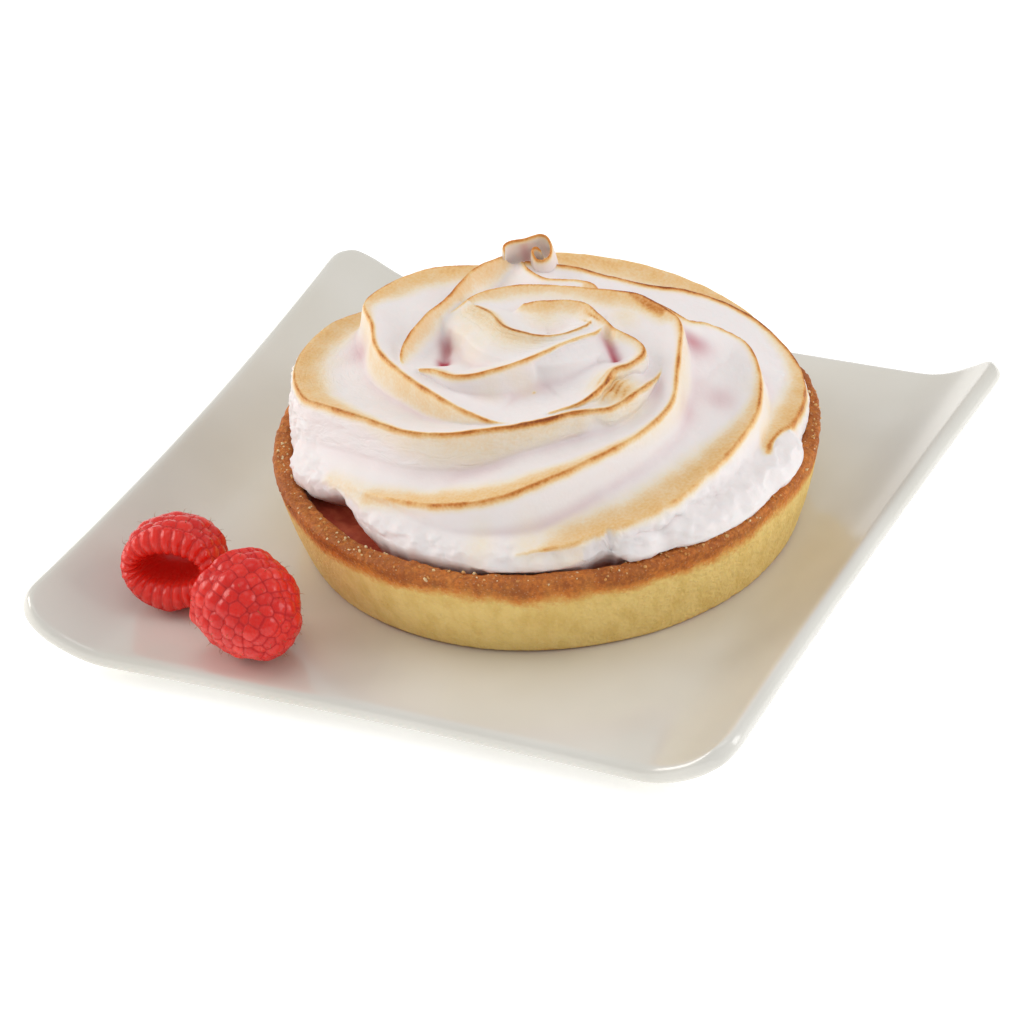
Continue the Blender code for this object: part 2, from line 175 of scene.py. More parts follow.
def grain(points: np.ndarray, length: float, seed: float = 0.0) -> np.ndarray:
    """Soft noise of about -1 to 1 at points.

    Args:
        points: Positions in millimetres.
        length: Wavelength in millimetres.
        seed: Shift that gives another pattern.

    Returns:
        One value for each point.
    """
    shifted = points / length + seed
    return np.array([noise.noise(Vector(p)) for p in shifted])


def smooth(value: np.ndarray, low: float, high: float) -> np.ndarray:
    """Smooth step from 0 at low to 1 at high."""
    t = np.clip((value - low) / (high - low), 0, 1)
    return t * t * (3 - 2 * t)


def computed_piece(name: str, points: np.ndarray, faces: Sequence[Sequence[int]]) -> bpy.types.Object:
    """Make a smooth mesh object at the origin from points in millimetres.

    Args:
        name: Name of the piece.
        points: Vertex positions.
        faces: Vertex numbers of each face, anticlockwise from outside.

    Returns:
        The new object.
    """
    mesh = bpy.data.meshes.new(name)
    mesh.from_pydata((points * MM).tolist(), [], faces)
    mesh.update()
    mesh.shade_smooth()
    obj = bpy.data.objects.new(name, mesh)
    bpy.context.collection.objects.link(obj)
    return obj


def ring_quads(rings: int, segments: int) -> list[tuple[int, ...]]:
    """Quads between rings of points that follow each other."""
    turn = [(k, (k + 1) % segments) for k in range(segments)]
    return [(low + k, low + n, low + segments + n, low + segments + k)
            for low in range(0, (rings - 1) * segments, segments) for k, n in turn]


def end_fans(rings: int, segments: int) -> list[tuple[int, ...]]:
    """Triangles that close the first and the last ring round two more points after the rings."""
    middle, last = rings * segments, (rings - 1) * segments
    faces = []
    for k in range(segments):
        n = (k + 1) % segments
        faces += [(middle, n, k), (middle + 1, last + k, last + n)]
    return faces


def face_outwards(obj: bpy.types.Object) -> None:
    """Turn the faces of a closed mesh to the outside."""
    only(obj)
    bpy.ops.object.mode_set(mode="EDIT")
    bpy.ops.mesh.select_all(action="SELECT")
    bpy.ops.mesh.normals_make_consistent(inside=False)
    bpy.ops.object.mode_set(mode="OBJECT")


def spline(knots: np.ndarray, steps: int) -> np.ndarray:
    """Run a smooth curve through knots.

    Args:
        knots: One row of values for each knot.
        steps: Number of points from one knot to the next.

    Returns:
        The curve's rows up to the last knot, without that knot.
    """
    padded = np.vstack([2 * knots[0] - knots[1], knots, 2 * knots[-1] - knots[-2]])
    rows = []
    for p0, p1, p2, p3 in zip(padded, padded[1:], padded[2:], padded[3:]):
        for t in np.linspace(0, 1, steps, endpoint=False):
            rows.append(0.5 * (2 * p1 + (p2 - p0) * t + (2 * p0 - 5 * p1 + 4 * p2 - p3) * t * t
                               + (3 * p1 - p0 - 3 * p2 + p3) * t ** 3))
    return np.array(rows)


def spun(name: str, profile: Sequence[tuple[float, float]], steps: int) -> bpy.types.Object:
    """Spin a profile that starts and ends on the tartlet's axis into a closed body.

    Args:
        name: Name of the piece.
        profile: Radius and height above the dish of each point, from the bottom round to the top.
        steps: Number of steps in the turn.

    Returns:
        The new object.
    """
    points = [(TART_X + r, TART_Y, DISH_TOP + z) for r, z in profile]
    mesh = bpy.data.meshes.new(name)
    mesh.from_pydata((np.array(points) * MM).tolist(), [(k, k + 1) for k in range(len(points) - 1)], [])
    obj = bpy.data.objects.new(name, mesh)
    bpy.context.collection.objects.link(obj)
    only(obj)
    bpy.ops.object.mode_set(mode="EDIT")
    bpy.ops.mesh.select_all(action="SELECT")
    bpy.ops.mesh.spin(steps=steps, angle=2 * pi, center=(TART_X * MM, TART_Y * MM, 0), axis=(0, 0, 1))
    bpy.ops.mesh.select_all(action="SELECT")
    bpy.ops.mesh.remove_doubles(threshold=1e-6)
    bpy.ops.mesh.normals_make_consistent(inside=False)
    bpy.ops.object.mode_set(mode="OBJECT")
    obj.data.shade_smooth()
    return obj


# --- finishes -----------------------------------------------------------------
class Paint:
    """A material in the making, with short ways to add the nodes that finishes share."""

    def __init__(self, name: str) -> None:
        """Start an empty material with Object coordinates."""
        self.mat = bpy.data.materials.new(name)
        self.mat.use_nodes = True
        self.tree = self.mat.node_tree
        self.tree.nodes.clear()
        self.place = add_node(self.tree, "ShaderNodeTexCoord").outputs["Object"]

    def add(self, kind: str, values: dict[Any, Any], **own: Any) -> bpy.types.Node:
        """Add a node and link the values that are sockets.

        Args:
            kind: Blender's type name of the node after "ShaderNode".
            values: Input name or number to its value or to the socket that feeds it.
            own: The node's own settings.

        Returns:
            The new node.
        """
        links = {key: value for key, value in values.items() if isinstance(value, bpy.types.NodeSocket)}
        plain = {key: value for key, value in values.items() if key not in links}
        return add_node(self.tree, "ShaderNode" + kind, {**own, **plain}, links)

    def attribute(self, name: str, output: str = "Fac") -> bpy.types.NodeSocket:
        """Read a named attribute of the mesh."""
        return self.add("Attribute", {}, attribute_name=name).outputs[output]

    def cloud(self, size: float, detail: float, **more: Any) -> bpy.types.NodeSocket:
        """Soft noise of a real wavelength in millimetres."""
        values = {"Scale": per(size), "Detail": detail, "Vector": self.place, **more}
        return self.add("TexNoise", values).outputs["Fac"]

    def stretch(self, vector: bpy.types.NodeSocket, scale: tuple[float, ...]) -> bpy.types.NodeSocket:
        """Scale the coordinates of a pattern."""
        return self.add("Mapping", {"Vector": vector, "Scale": scale}).outputs["Vector"]

    def maths(self, operation: str, *values: Any, use_clamp: bool = False) -> bpy.types.NodeSocket:
        """Work out one value from numbers and sockets."""
        node = self.add("Math", dict(enumerate(values)), operation=operation, use_clamp=use_clamp)
        return node.outputs["Value"]

    def remap(self, value: bpy.types.NodeSocket, start: tuple[float, float],
              end: tuple[float, float] = (0.0, 1.0), kind: str = "LINEAR") -> bpy.types.NodeSocket:
        """Carry a value from one range to another and hold it at both ends."""
        values = {"Value": value, "From Min": start[0], "From Max": start[1],
                  "To Min": end[0], "To Max": end[1]}
        return self.add("MapRange", values, interpolation_type=kind).outputs["Result"]

    def ramp(self, share: bpy.types.NodeSocket, *stops: tuple[float, str]) -> bpy.types.NodeSocket:
        """Colour by a share, through stops of a position and a hex code."""
        return self.add("ValToRGB", {"Fac": share}, stops=stops).outputs["Color"]

    def blend(self, share: bpy.types.NodeSocket, first: Any, second: Any) -> bpy.types.NodeSocket:
        """Mix two colours, each a hex code or a socket."""
        first, second = (linear(c) if isinstance(c, str) else c for c in (first, second))
        return self.add("Mix", {0: share, 6: first, 7: second}, data_type="RGBA").outputs[2]

    def bump(self, height: bpy.types.NodeSocket, strength: float, depth: float) -> bpy.types.NodeSocket:
        """Relief of a real depth in millimetres."""
        values = {"Height": height, "Strength": strength, "Distance": depth * MM}
        return self.add("Bump", values).outputs["Normal"]

    def done(self, values: dict[str, Any]) -> bpy.types.Material:
        """Close the material with a Principled shader that takes these values and sockets."""
        shader = self.add("BsdfPrincipled", values)
        self.add("OutputMaterial", {"Surface": shader.outputs["BSDF"]})
        return self.mat


@dataclass(frozen=True)
class Finish:
    """A procedural material round one Principled shader."""

    name: str

    def build(self) -> bpy.types.Material:
        """Make the material."""
        raise NotImplementedError


@dataclass(frozen=True)
class GlazedPorcelain(Finish):
    """Hard-paste porcelain, slip cast and dipped in a clear glaze: off-white under a glassy coat."""

    name: str = "glazed_porcelain"
    body: str = "#E6E4DD"
    shade: str = "#DBD8CE"
    roughness: float = 0.16

    def build(self) -> bpy.types.Material:
        """Make the material."""
        paint = Paint(self.name)
        # Clay body: a faint cloudiness about 30 mm wide, as the glaze lies thicker and thinner.
        tone = paint.ramp(paint.cloud(30, 2.0), (0.3, self.shade), (0.7, self.body))
        # Glaze ripple: real ones are some 6 mm long and only microns high.
        ripple = paint.bump(paint.cloud(6, 1.0), 0.25, 0.04)
        return paint.done({"Base Color": tone, "Normal": ripple, "Roughness": self.roughness, "IOR": 1.62,
                           "Coat Weight": 0.8, "Coat Roughness": 0.26})


@dataclass(frozen=True)
class Shortcrust(Finish):
    """Butter shortcrust, pressed in a ring and baked: sandy crumb, golden wall, browned rim."""

    name: str = "baked_shortcrust"
    golden: str = "#F5D484"
    shadow: str = "#E4BE68"
    toasted: str = "#E4A452"
    brown: str = "#D47C2E"
    dark: str = "#A4581F"
    # Colour of the painted highlight on the crumb's grains.
    pale: str = "#FBE9C4"

    def build(self) -> bpy.types.Material:
        """Make the material."""
        paint = Paint(self.name)
        bake = paint.attribute("bake")
        # Browning: it wanders by some 5 mm along the rim and is sandy at the crumb's size of 0.9 mm.
        sand = paint.cloud(0.9, 3.0, Roughness=0.7)
        drifted = paint.maths("MULTIPLY_ADD", paint.cloud(5, 3.0), 0.34, bake)
        centred = paint.maths("SUBTRACT", paint.maths("MULTIPLY_ADD", sand, 0.80, drifted), 0.57)
        tone = paint.ramp(centred, (0.0, self.golden), (0.14, self.golden), (0.45, self.toasted),
                          (0.72, self.brown), (1.0, self.dark))
        # Wall: pale butter-rich patches some 3 mm wide, drawn out a little by the ring as it is lifted.
        drawn = paint.stretch(paint.place, (1.0, 1.0, 0.45))
        patches = paint.remap(paint.cloud(2.6, 4.0, Roughness=0.6, Vector=drawn), (0.42, 0.66), (0.0, 0.7))
        unbaked = paint.maths("SUBTRACT", 1.0, bake, use_clamp=True)
        mottled = paint.blend(paint.maths("MULTIPLY", patches, unbaked), tone, self.shadow)
        # Crumb: grains of 0.7 mm; the middle of each is painted paler as a painted highlight, and the bump
        # gives them relief.
        grains = paint.add("TexVoronoi", {"Scale": per(0.7), "Vector": paint.place}).outputs["Distance"]
        lit = paint.blend(paint.remap(grains, (0.25, 0.0), (0.0, 0.28)), mottled, self.pale)
        relief = paint.bump(paint.maths("SUBTRACT", sand, grains), 0.7, 0.32)
        return paint.done({"Base Color": lit, "Normal": relief, "Roughness": 0.62, "IOR": 1.42,
                           "Subsurface Weight": 0.15, "Subsurface Radius": (1.0, 0.5, 0.2),
                           "Subsurface Scale": 0.8 * MM})


@dataclass(frozen=True)
class RaspberryJelly(Finish):
    """Boiled raspberry filling, set in its case: nearly black in the deep, red where it is thin."""

    name: str = "set_raspberry_filling"
    deep: str = "#B8513C"
    thin: str = "#CC6A4C"

    def build(self) -> bpy.types.Material:
        """Make the material."""
        paint = Paint(self.name)
        # Pulp: seeds and torn berries give lumps 2 mm wide.
        pulp = paint.cloud(2, 3.0)
        tone = paint.ramp(pulp, (0.35, self.deep), (0.7, self.thin))
        return paint.done({"Base Color": tone, "Normal": paint.bump(pulp, 0.6, 0.4), "Roughness": 0.22,
                           "IOR": 1.40})


@dataclass(frozen=True)
class ToastedMeringue(Finish):
    """Italian meringue, piped through a petal tip and flamed: satin foam, caramel at its crests."""

    name: str = "toasted_meringue"
    foam: str = "#F6EFEE"
    # Colour of the painted shade in the folds.
    fold: str = "#DAB4B9"
    juice: str = "#C64A5C"
    cream: str = "#F6E6C8"
    tan: str = "#EDC486"
    caramel: str = "#D2893E"
    burnt: str = "#93491A"

    def build(self) -> bpy.types.Material:
        """Make the material."""
        paint = Paint(self.name)
        toast, blush, wrinkle = (paint.attribute(name) for name in ("toast", "blush", "wrinkle"))
        # Flame marks: patches some 4 mm wide and specks of 0.5 mm where single bubbles scorch.
        mixed = paint.maths("MULTIPLY_ADD", paint.cloud(0.55, 2.0), 1.0, paint.cloud(4, 2.0))
        spread = paint.maths("MULTIPLY_ADD", mixed, 0.5, 0.5)
        shown = paint.maths("MULTIPLY", toast, spread, use_clamp=True)
        # Foam: white, with painted shade of a pink cast that deepens in the folds, and raspberry juice at the
        # top of the scale, on the juice spots.
        base = paint.ramp(blush, (0.0, self.foam), (0.55, self.fold), (1.0, self.juice))
        flamed = paint.ramp(shown, (0.0, self.cream), (0.25, self.cream), (0.52, self.tan),
                            (0.76, self.caramel), (1.0, self.burnt))
        colour = paint.blend(paint.remap(shown, (0.02, 0.42), kind="SMOOTHSTEP"), base, flamed)
        # Skin: open foam pores of 0.5 mm all over, drawn-out folds 0.7 mm apart where the skin dried.
        drawn = paint.stretch(paint.attribute("flow", "Vector"), (0.16, 1.0, 1.0))
        folds = paint.add("TexNoise", {"Scale": 1.5, "Detail": 3.0, "Distortion": 0.8, "Vector": drawn})
        folded = paint.maths("MULTIPLY", folds.outputs["Fac"], paint.maths("MULTIPLY", wrinkle, 1.5))
        height = paint.maths("MULTIPLY_ADD", paint.cloud(0.5, 2.0), 0.12, folded)
        return paint.done({"Base Color": colour, "Normal": paint.bump(height, 0.8, 0.5), "Roughness": 0.48,
                           "IOR": 1.38, "Subsurface Weight": 0.4, "Subsurface Radius": (1.0, 0.74, 0.68),
                           "Subsurface Scale": 1.4 * MM})


@dataclass(frozen=True)
class RaspberrySkin(Finish):
    """Fresh raspberry: thin clear-red skin over juice, with a down that pales it at a glance."""

    name: str = "raspberry_skin"
    # Colour of the painted shade in the creases between drupelets.
    crease_shade: str = "#BC1216"
    ripe: str = "#D21815"
    light: str = "#E83426"

    def build(self) -> bpy.types.Material:
        """Make the material."""
        paint = Paint(self.name)
        dome = paint.attribute("dome")
        # Skin: each drupelet has its own ripeness; the creases between them are painted darker as painted
        # shade, and are dull.
        spread = paint.maths("MULTIPLY_ADD", paint.cloud(1.4, 2.0), 0.3, paint.attribute("tone"))
        ripe = paint.ramp(spread, (0.1, self.ripe), (1.0, self.light))
        colour = paint.blend(paint.remap(dome, (-0.1, 0.5), kind="SMOOTHSTEP"), self.crease_shade, ripe)
        dull = paint.remap(dome, (0.0, 0.5), (0.9, 0.22))
        # Down: its hairs are finer than 0.6 mm.
        down = paint.bump(paint.cloud(0.6, 3.0), 0.45, 0.12)
        return paint.done({"Base Color": colour, "Normal": down, "Roughness": dull, "IOR": 1.46,
                           "Subsurface Weight": 0.7, "Subsurface Radius": (1.0, 0.2, 0.15),
                           "Subsurface Scale": 2.0 * MM})


@dataclass(frozen=True)
class PlainFinish(Finish):
    """A matt natural stuff with a fine mottle: plant hair or studio paper."""

    name: str
    first: str
    second: str
    mottle: float
    roughness: float = 0.7
    glow: float = 0.0

    def build(self) -> bpy.types.Material:
        """Make the material."""
        paint = Paint(self.name)
        tone = paint.ramp(paint.cloud(self.mottle, 2.0), (0.35, self.first), (0.65, self.second))
        glow = {"Emission Color": (1.0, 1.0, 1.0, 1.0), "Emission Strength": self.glow} if self.glow else {}
        return paint.done({"Base Color": tone, "Roughness": self.roughness, **glow})


# --- dish ---------------------------------------------------------------------
@dataclass
class Dish:
    """A square dish: one sheet with two sides curled up, on a low foot."""

    half_x: float = 67.5
    half_y: float = 65.8
    corner: float = 7.7
    flare: float = 1.5
    bow: float = 1.5
    thick: float = 3.4
    curl_start: float = 52.5
    curl_lift: float = 6.3
    curl_corner_lift: float = 1.1
    curl_power: float = 1.6
    foot_x: float = 51.5
    foot_y: float = 59.5
    foot_drop: float = 2.6
    stations_x: tuple[float, ...] = (0.0, 12.0, 24.0, 36.0, 45.0, 50.0, 53.0, 56.0, 59.0, 61.6, 64.2, 66.6,
                                     68.8)
    stations_y: tuple[float, ...] = (0.0, 12.0, 24.0, 36.0, 46.0, 53.0, 57.5, 60.0, 62.5, 65.0, 67.4)

    def shape(self, points: np.ndarray) -> np.ndarray:
        """Round the corners of a flat sheet, flare them, bow the open edges and curl the sides.

        Args:
            points: Flat points in millimetres.

        Returns:
            The points of the dish's middle surface.
        """
        x, y = points[:, 0], points[:, 1]
        far_x, far_y = self.stations_x[-1] - self.corner, self.stations_y[-1] - self.corner
        u = np.clip((np.abs(x) - far_x) / self.corner, 0, None)
        v = np.clip((np.abs(y) - far_y) / self.corner, 0, None)
        round_x = np.sign(x) * (far_x + self.corner * u * np.sqrt(1 - v ** 2 / 2))
        round_y = np.sign(y) * (far_y + self.corner * v * np.sqrt(1 - u ** 2 / 2))
        x = np.where(u > 0, round_x, x)
        y = np.where(v > 0, round_y, y)
        along, across = (y / self.half_y) ** 2, (x / self.half_x) ** 2
        reach = (self.half_x - self.curl_start)
        curl = (np.clip(np.abs(x) - self.curl_start, 0, None) / reach) ** self.curl_power
        bent_x = x * (1 + self.flare * along / self.half_x)
        bent_y = y * (1 - self.bow * np.clip(1 - across, 0, None) / self.half_y)
        lift = (self.curl_lift + self.curl_corner_lift * along) * curl
        return np.stack([bent_x, bent_y, DISH_TOP - self.thick / 2 + lift], axis=1)

    def sheet(self) -> bpy.types.Object:
        """Model the sheet from a grid, with a wall and rounded edges."""
        steps_x, steps_y = 2 * (len(self.stations_x) - 1), 2 * (len(self.stations_y) - 1)
        bpy.ops.mesh.primitive_grid_add(x_subdivisions=steps_x, y_subdivisions=steps_y, size=2.0)
        obj = bpy.context.object
        obj.name = obj.data.name = "porcelain_dish"
        flat = read_points(obj) * MM
        for axis, stations in ((0, self.stations_x), (1, self.stations_y)):
            spots = np.array([-s for s in stations[:0:-1]] + list(stations))
            flat[:, axis] = np.interp(flat[:, axis], np.linspace(-1, 1, len(spots)), spots)
        write_points(obj, self.shape(flat))
        solid = obj.modifiers.new("wall", "SOLIDIFY")
        solid.thickness = self.thick * MM
        solid.offset = 0.0
        rounded = obj.modifiers.new("rounding", "SUBSURF")
        rounded.levels = rounded.render_levels = 3
        apply_modifiers(obj)
        obj.data.shade_smooth()
        return obj

    def foot(self) -> bpy.types.Object:
        """Model the foot ring from a plane: corners bevelled, pulled down, hollowed and softened."""
        bpy.ops.mesh.primitive_plane_add(size=2 * MM, location=(0, 0, (self.foot_drop + 0.4) * MM))
        obj = bpy.context.object
        obj.scale = (self.foot_x, self.foot_y, 1.0)
        settle(obj)
        only(obj)
        bpy.ops.object.mode_set(mode="EDIT")
        bpy.ops.mesh.select_all(action="SELECT")
        bpy.ops.mesh.bevel(offset=8 * MM, segments=8, affect="VERTICES")
        bpy.ops.mesh.select_all(action="SELECT")
        drop = -(self.foot_drop + 0.4) * MM
        bpy.ops.mesh.extrude_region_move(TRANSFORM_OT_translate={"value": (0, 0, drop)})
        bpy.ops.mesh.inset(thickness=4.5 * MM)
        bpy.ops.mesh.extrude_region_move(TRANSFORM_OT_translate={"value": (0, 0, 1.8 * MM)})
        bpy.ops.mesh.select_all(action="SELECT")
        bpy.ops.mesh.normals_make_consistent(inside=False)
        bpy.ops.object.mode_set(mode="OBJECT")
        soft = obj.modifiers.new("soft_edges", "BEVEL")
        soft.width = 0.7 * MM
        soft.segments = 3
        soft.limit_method = "ANGLE"
        apply_modifiers(obj)
        return obj

    def build(self, finish: Finish) -> bpy.types.Object:
        """Make the dish and put it in the place of its solid."""
        foot = self.foot()
        sheet = self.sheet()
        only(sheet)
        foot.select_set(True)
        bpy.ops.object.join()
        sheet.data.shade_smooth()
        only(sheet)
        bpy.ops.object.shade_smooth_by_angle(angle=radians(40))
        sheet.data.materials.clear()
        sheet.data.materials.append(finish.build())
        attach(sheet, "root")
        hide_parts("dish")
        return sheet


# --- pastry and filling -------------------------------------------------------
@dataclass
class PastryCase:
    """The flared shortcrust case with its crumbly rim, and the filling inside it."""

    base_r: float = 45.6
    rim_r: float = 50.0
    height: float = 17.8
    wall: float = 3.9
    floor: float = 4.0
    fill_top: float = 14.4
    steps: int = 420
    crumbs: int = 620
    seed: int = 7

    def profile(self) -> list[tuple[float, float]]:
        """Radius and height of the case's section, from the axis below round to the axis above."""
        inner = self.rim_r - self.wall
        points = [(0.0, 0.05), (self.base_r * 0.5, 0.05), (self.base_r - 2.0, 0.05), (self.base_r - 0.6, 0.1)]
        rise = self.height - 1.3
        flare = self.rim_r - 0.1 - self.base_r
        for k in range(44):
            t = k / 43
            points.append((self.base_r + flare * t ** 0.92 + 0.35 * sin(pi * t), 0.5 + (rise - 0.5) * t))
        middle, half = (self.rim_r + inner) / 2, self.wall / 2
        for k in range(1, 22):
            angle = pi * k / 22
            lift = 1.3 * abs(sin(angle)) ** 0.75
            points.append((middle + half * cos(angle) * 0.98, rise + lift))
        for k in range(12):
            t = k / 11
            points.append((inner - 1.0 * t, rise + (self.floor + 1.0 - rise) * t))
        points += [(inner - 2.5, self.floor), (inner * 0.5, self.floor), (0.0, self.floor)]
        return points

    def case(self, finish: Finish) -> bpy.types.Object:
        """Spin the case, then make its surface sandy, pitted and uneven."""
        obj = spun("pastry_case", self.profile(), self.steps)
        points, normals = read_points(obj), point_normals(obj)
        centred = points - SEAT
        height = centred[:, 2]
        radius = np.hypot(centred[:, 0], centred[:, 1])
        angle = np.arctan2(centred[:, 1], centred[:, 0])
        rim = smooth(height, self.height - 3.6, self.height - 1.2) * smooth(radius, 44.0, 45.5)
        outside = smooth(radius, self.base_r - 1.0, self.base_r + 0.2)
        streaks = np.stack([angle * 46.0, height * 0.15, np.zeros_like(angle)], axis=1)
        sandy = grain(points, 1.1) + 0.6 * grain(points, 0.55, 9.0)
        pits = smooth(grain(points, 1.7, 21.0), 0.42, 0.62)
        push = outside * (0.30 * grain(points, 14.0, 3.0) + 0.05 * grain(streaks, 0.9, 5.0)
                          + 0.06 * sandy - 0.16 * pits)
        push += rim * (0.16 * sandy + 0.22 * grain(points, 2.6, 13.0))
        points = points + normals * push[:, None]
        points[:, 2] += rim * (0.28 * grain(points, 9.0, 31.0) + 0.10 * grain(points, 2.2, 37.0))
        points[:, 2] = np.maximum(points[:, 2], DISH_TOP + 0.03)
        write_points(obj, points)
        wander = 0.10 * grain(points, 16.0, 41.0) + 0.06 * grain(points, 4.0, 43.0)
        bake = smooth(height + 8 * wander, self.height - 6.4, self.height - 1.8)
        inside = 1 - smooth(radius, 45.0, 46.2)
        store(obj, "bake", np.clip(0.92 * bake + 0.5 * inside + wander, 0, 1))
        obj.data.materials.append(finish.build())
        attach(obj, "root")
        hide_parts("case")
        return obj

    def rim_crumbs(self, finish: Finish) -> bpy.types.Object:
        """Scatter loose crumbs of 0.3 to 0.9 mm along the rim, copies of one modelled crumb."""
        rng = Random(self.seed)
        bpy.ops.mesh.primitive_ico_sphere_add(subdivisions=1, radius=MM)
        pattern = bpy.context.object
        unit = read_points(pattern)
        faces = [tuple(p.vertices) for p in pattern.data.polygons]
        bpy.data.objects.remove(pattern, do_unlink=True)
        points, polygons, bake = [], [], []
        for k in range(self.crumbs):
            turn = rng.uniform(0, 2 * pi)
            across = rng.gauss(0.55, 0.32)
            radius = self.rim_r - self.wall * (1 - across) * 0.98
            if radius > self.rim_r + 0.15 or radius < self.rim_r - self.wall:
                continue
            size = rng.choice((0.16, 0.2, 0.26, 0.34)) * rng.uniform(0.8, 1.2)
            edge = 1 - abs(2 * across - 1) ** 4
            spot = Vector((TART_X + radius * cos(turn), TART_Y + radius * sin(turn),
                           DISH_TOP + self.height - 1.05 + 1.0 * max(edge, 0.0)))
            rough = Matrix.Rotation(rng.uniform(0, pi), 3, Vector((rng.random(), rng.random(), 1)))
            stretch = Matrix.Diagonal((rng.uniform(0.7, 1.3), rng.uniform(0.7, 1.3), rng.uniform(0.5, 0.9)))
            base = len(points)
            for corner in unit:
                wobble = rng.uniform(0.8, 1.2)
                points.append(spot + rough @ (stretch @ Vector(corner * size * wobble)))
            polygons += [tuple(base + v for v in face) for face in faces]
            bake += [rng.choice((0.02, 0.1, 0.5, 0.7, 0.85))] * len(unit)
        obj = computed_piece("rim_crumbs", np.array(points), polygons)
        store(obj, "bake", np.array(bake))
        obj.data.materials.append(finish.build())
        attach(obj, "root")
        return obj

    def filling(self, finish: Finish) -> bpy.types.Object:
        """Spin the filling and give its top the lumps of boiled fruit."""
        inner = self.rim_r - self.wall
        low = self.floor + 2.4
        profile = [(0.0, self.floor + 0.05), (inner - 3.6, self.floor + 0.05), (inner - 1.0, low)]
        profile += [(inner - 0.95 + 0.5 * k / 6, low + 7.6 * k / 6) for k in range(1, 7)]
        top = self.fill_top - 0.2
        profile += [(r, top) for r in np.linspace(inner - 0.7, 30.0, 26)] + [(15.0, top), (0.0, top)]
        obj = spun("raspberry_filling", profile, 260)
        points = read_points(obj)
        centred = points - SEAT
        up = smooth(centred[:, 2], top - 1.0, top - 0.1)
        points[:, 2] += up * (0.7 * grain(points, 4.5, 2.0) + 0.35 * grain(points, 1.8, 6.0))
        write_points(obj, points)
        obj.data.materials.append(finish.build())
        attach(obj, "root")
        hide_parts("filling")
        return obj

    def build(self, crust: Finish, jelly: Finish) -> list[bpy.types.Object]:
        """Make the case, its crumbs and its filling."""
        crumb = Shortcrust("shortcrust_crumbs", "#F2D8AC", "#E4BC80", "#E4B070", "#D4924C", "#B06A34")
        return [self.case(crust), self.rim_crumbs(crumb), self.filling(jelly)]


# --- meringue -----------------------------------------------------------------
@dataclass(frozen=True)
class Notch:
    """A stretch of the lower edge that lifts clear or is hollow underneath."""

    bearing: float
    width: float
    lift: float = 0.0
    hollow: float = 0.0


@dataclass(frozen=True)
class Arm:
    """A crest of the rose.

    Each knot holds a clockwise bearing from the rose's own back, a radius, a lift above the
    crown, and how wide the flame has browned the inner and the outer side.
    """

    name: str
    knots: tuple[tuple[float, float, float, float, float], ...]
    wrinkled: float = 0.3
    scorched: float = 0.0
    painted: bool = False
    line: float = 1.0
    face: float = 0.0
    gentle: float = 0.35
    inner_dip: float = 6.0
    inner_reach: float = 6.0


@dataclass(frozen=True)
class Crumple:
    """A patch of the dried skin that has creased in lines of one bearing."""

    bearing: float
    radius: float
    reach: float
    way: float
    spacing: float
    deep: float


@dataclass(frozen=True)
class Spot:
    """A soft place on the rose, round or drawn out to a second point."""

    bearing: float
    radius: float
    reach: float
    depth: float
    to_bearing: float | None = None
    to_radius: float = 0.0

    def near(self, x: np.ndarray, y: np.ndarray) -> np.ndarray:
        """How much of the spot plan points take: 1 on its line, fading over its reach."""
        start_x, start_y = polar(self.bearing, self.radius)
        run_x, run_y, share = 0.0, 0.0, 0.0
        if self.to_bearing is not None:
            end_x, end_y = polar(self.to_bearing, self.to_radius)
            run_x, run_y = end_x - start_x, end_y - start_y
            share = np.clip(((x - start_x) * run_x + (y - start_y) * run_y) / (run_x ** 2 + run_y ** 2), 0, 1)
        off = (x - start_x - share * run_x) ** 2 + (y - start_y - share * run_y) ** 2
        return np.exp(-off / self.reach ** 2)


def polar(bearing: Any, radius: Any) -> tuple[np.ndarray, np.ndarray]:
    """Plan position of a point at a clockwise bearing from the rose's own back."""
    return radius * np.sin(np.radians(bearing)), radius * np.cos(np.radians(bearing))


def evened(rows: np.ndarray, passes: int) -> np.ndarray:
    """Average each row with its two neighbours round the turn, several times."""
    for _ in range(passes):
        rows = (rows + np.roll(rows, 1, axis=0) + np.roll(rows, -1, axis=0)) / 3
    return rows


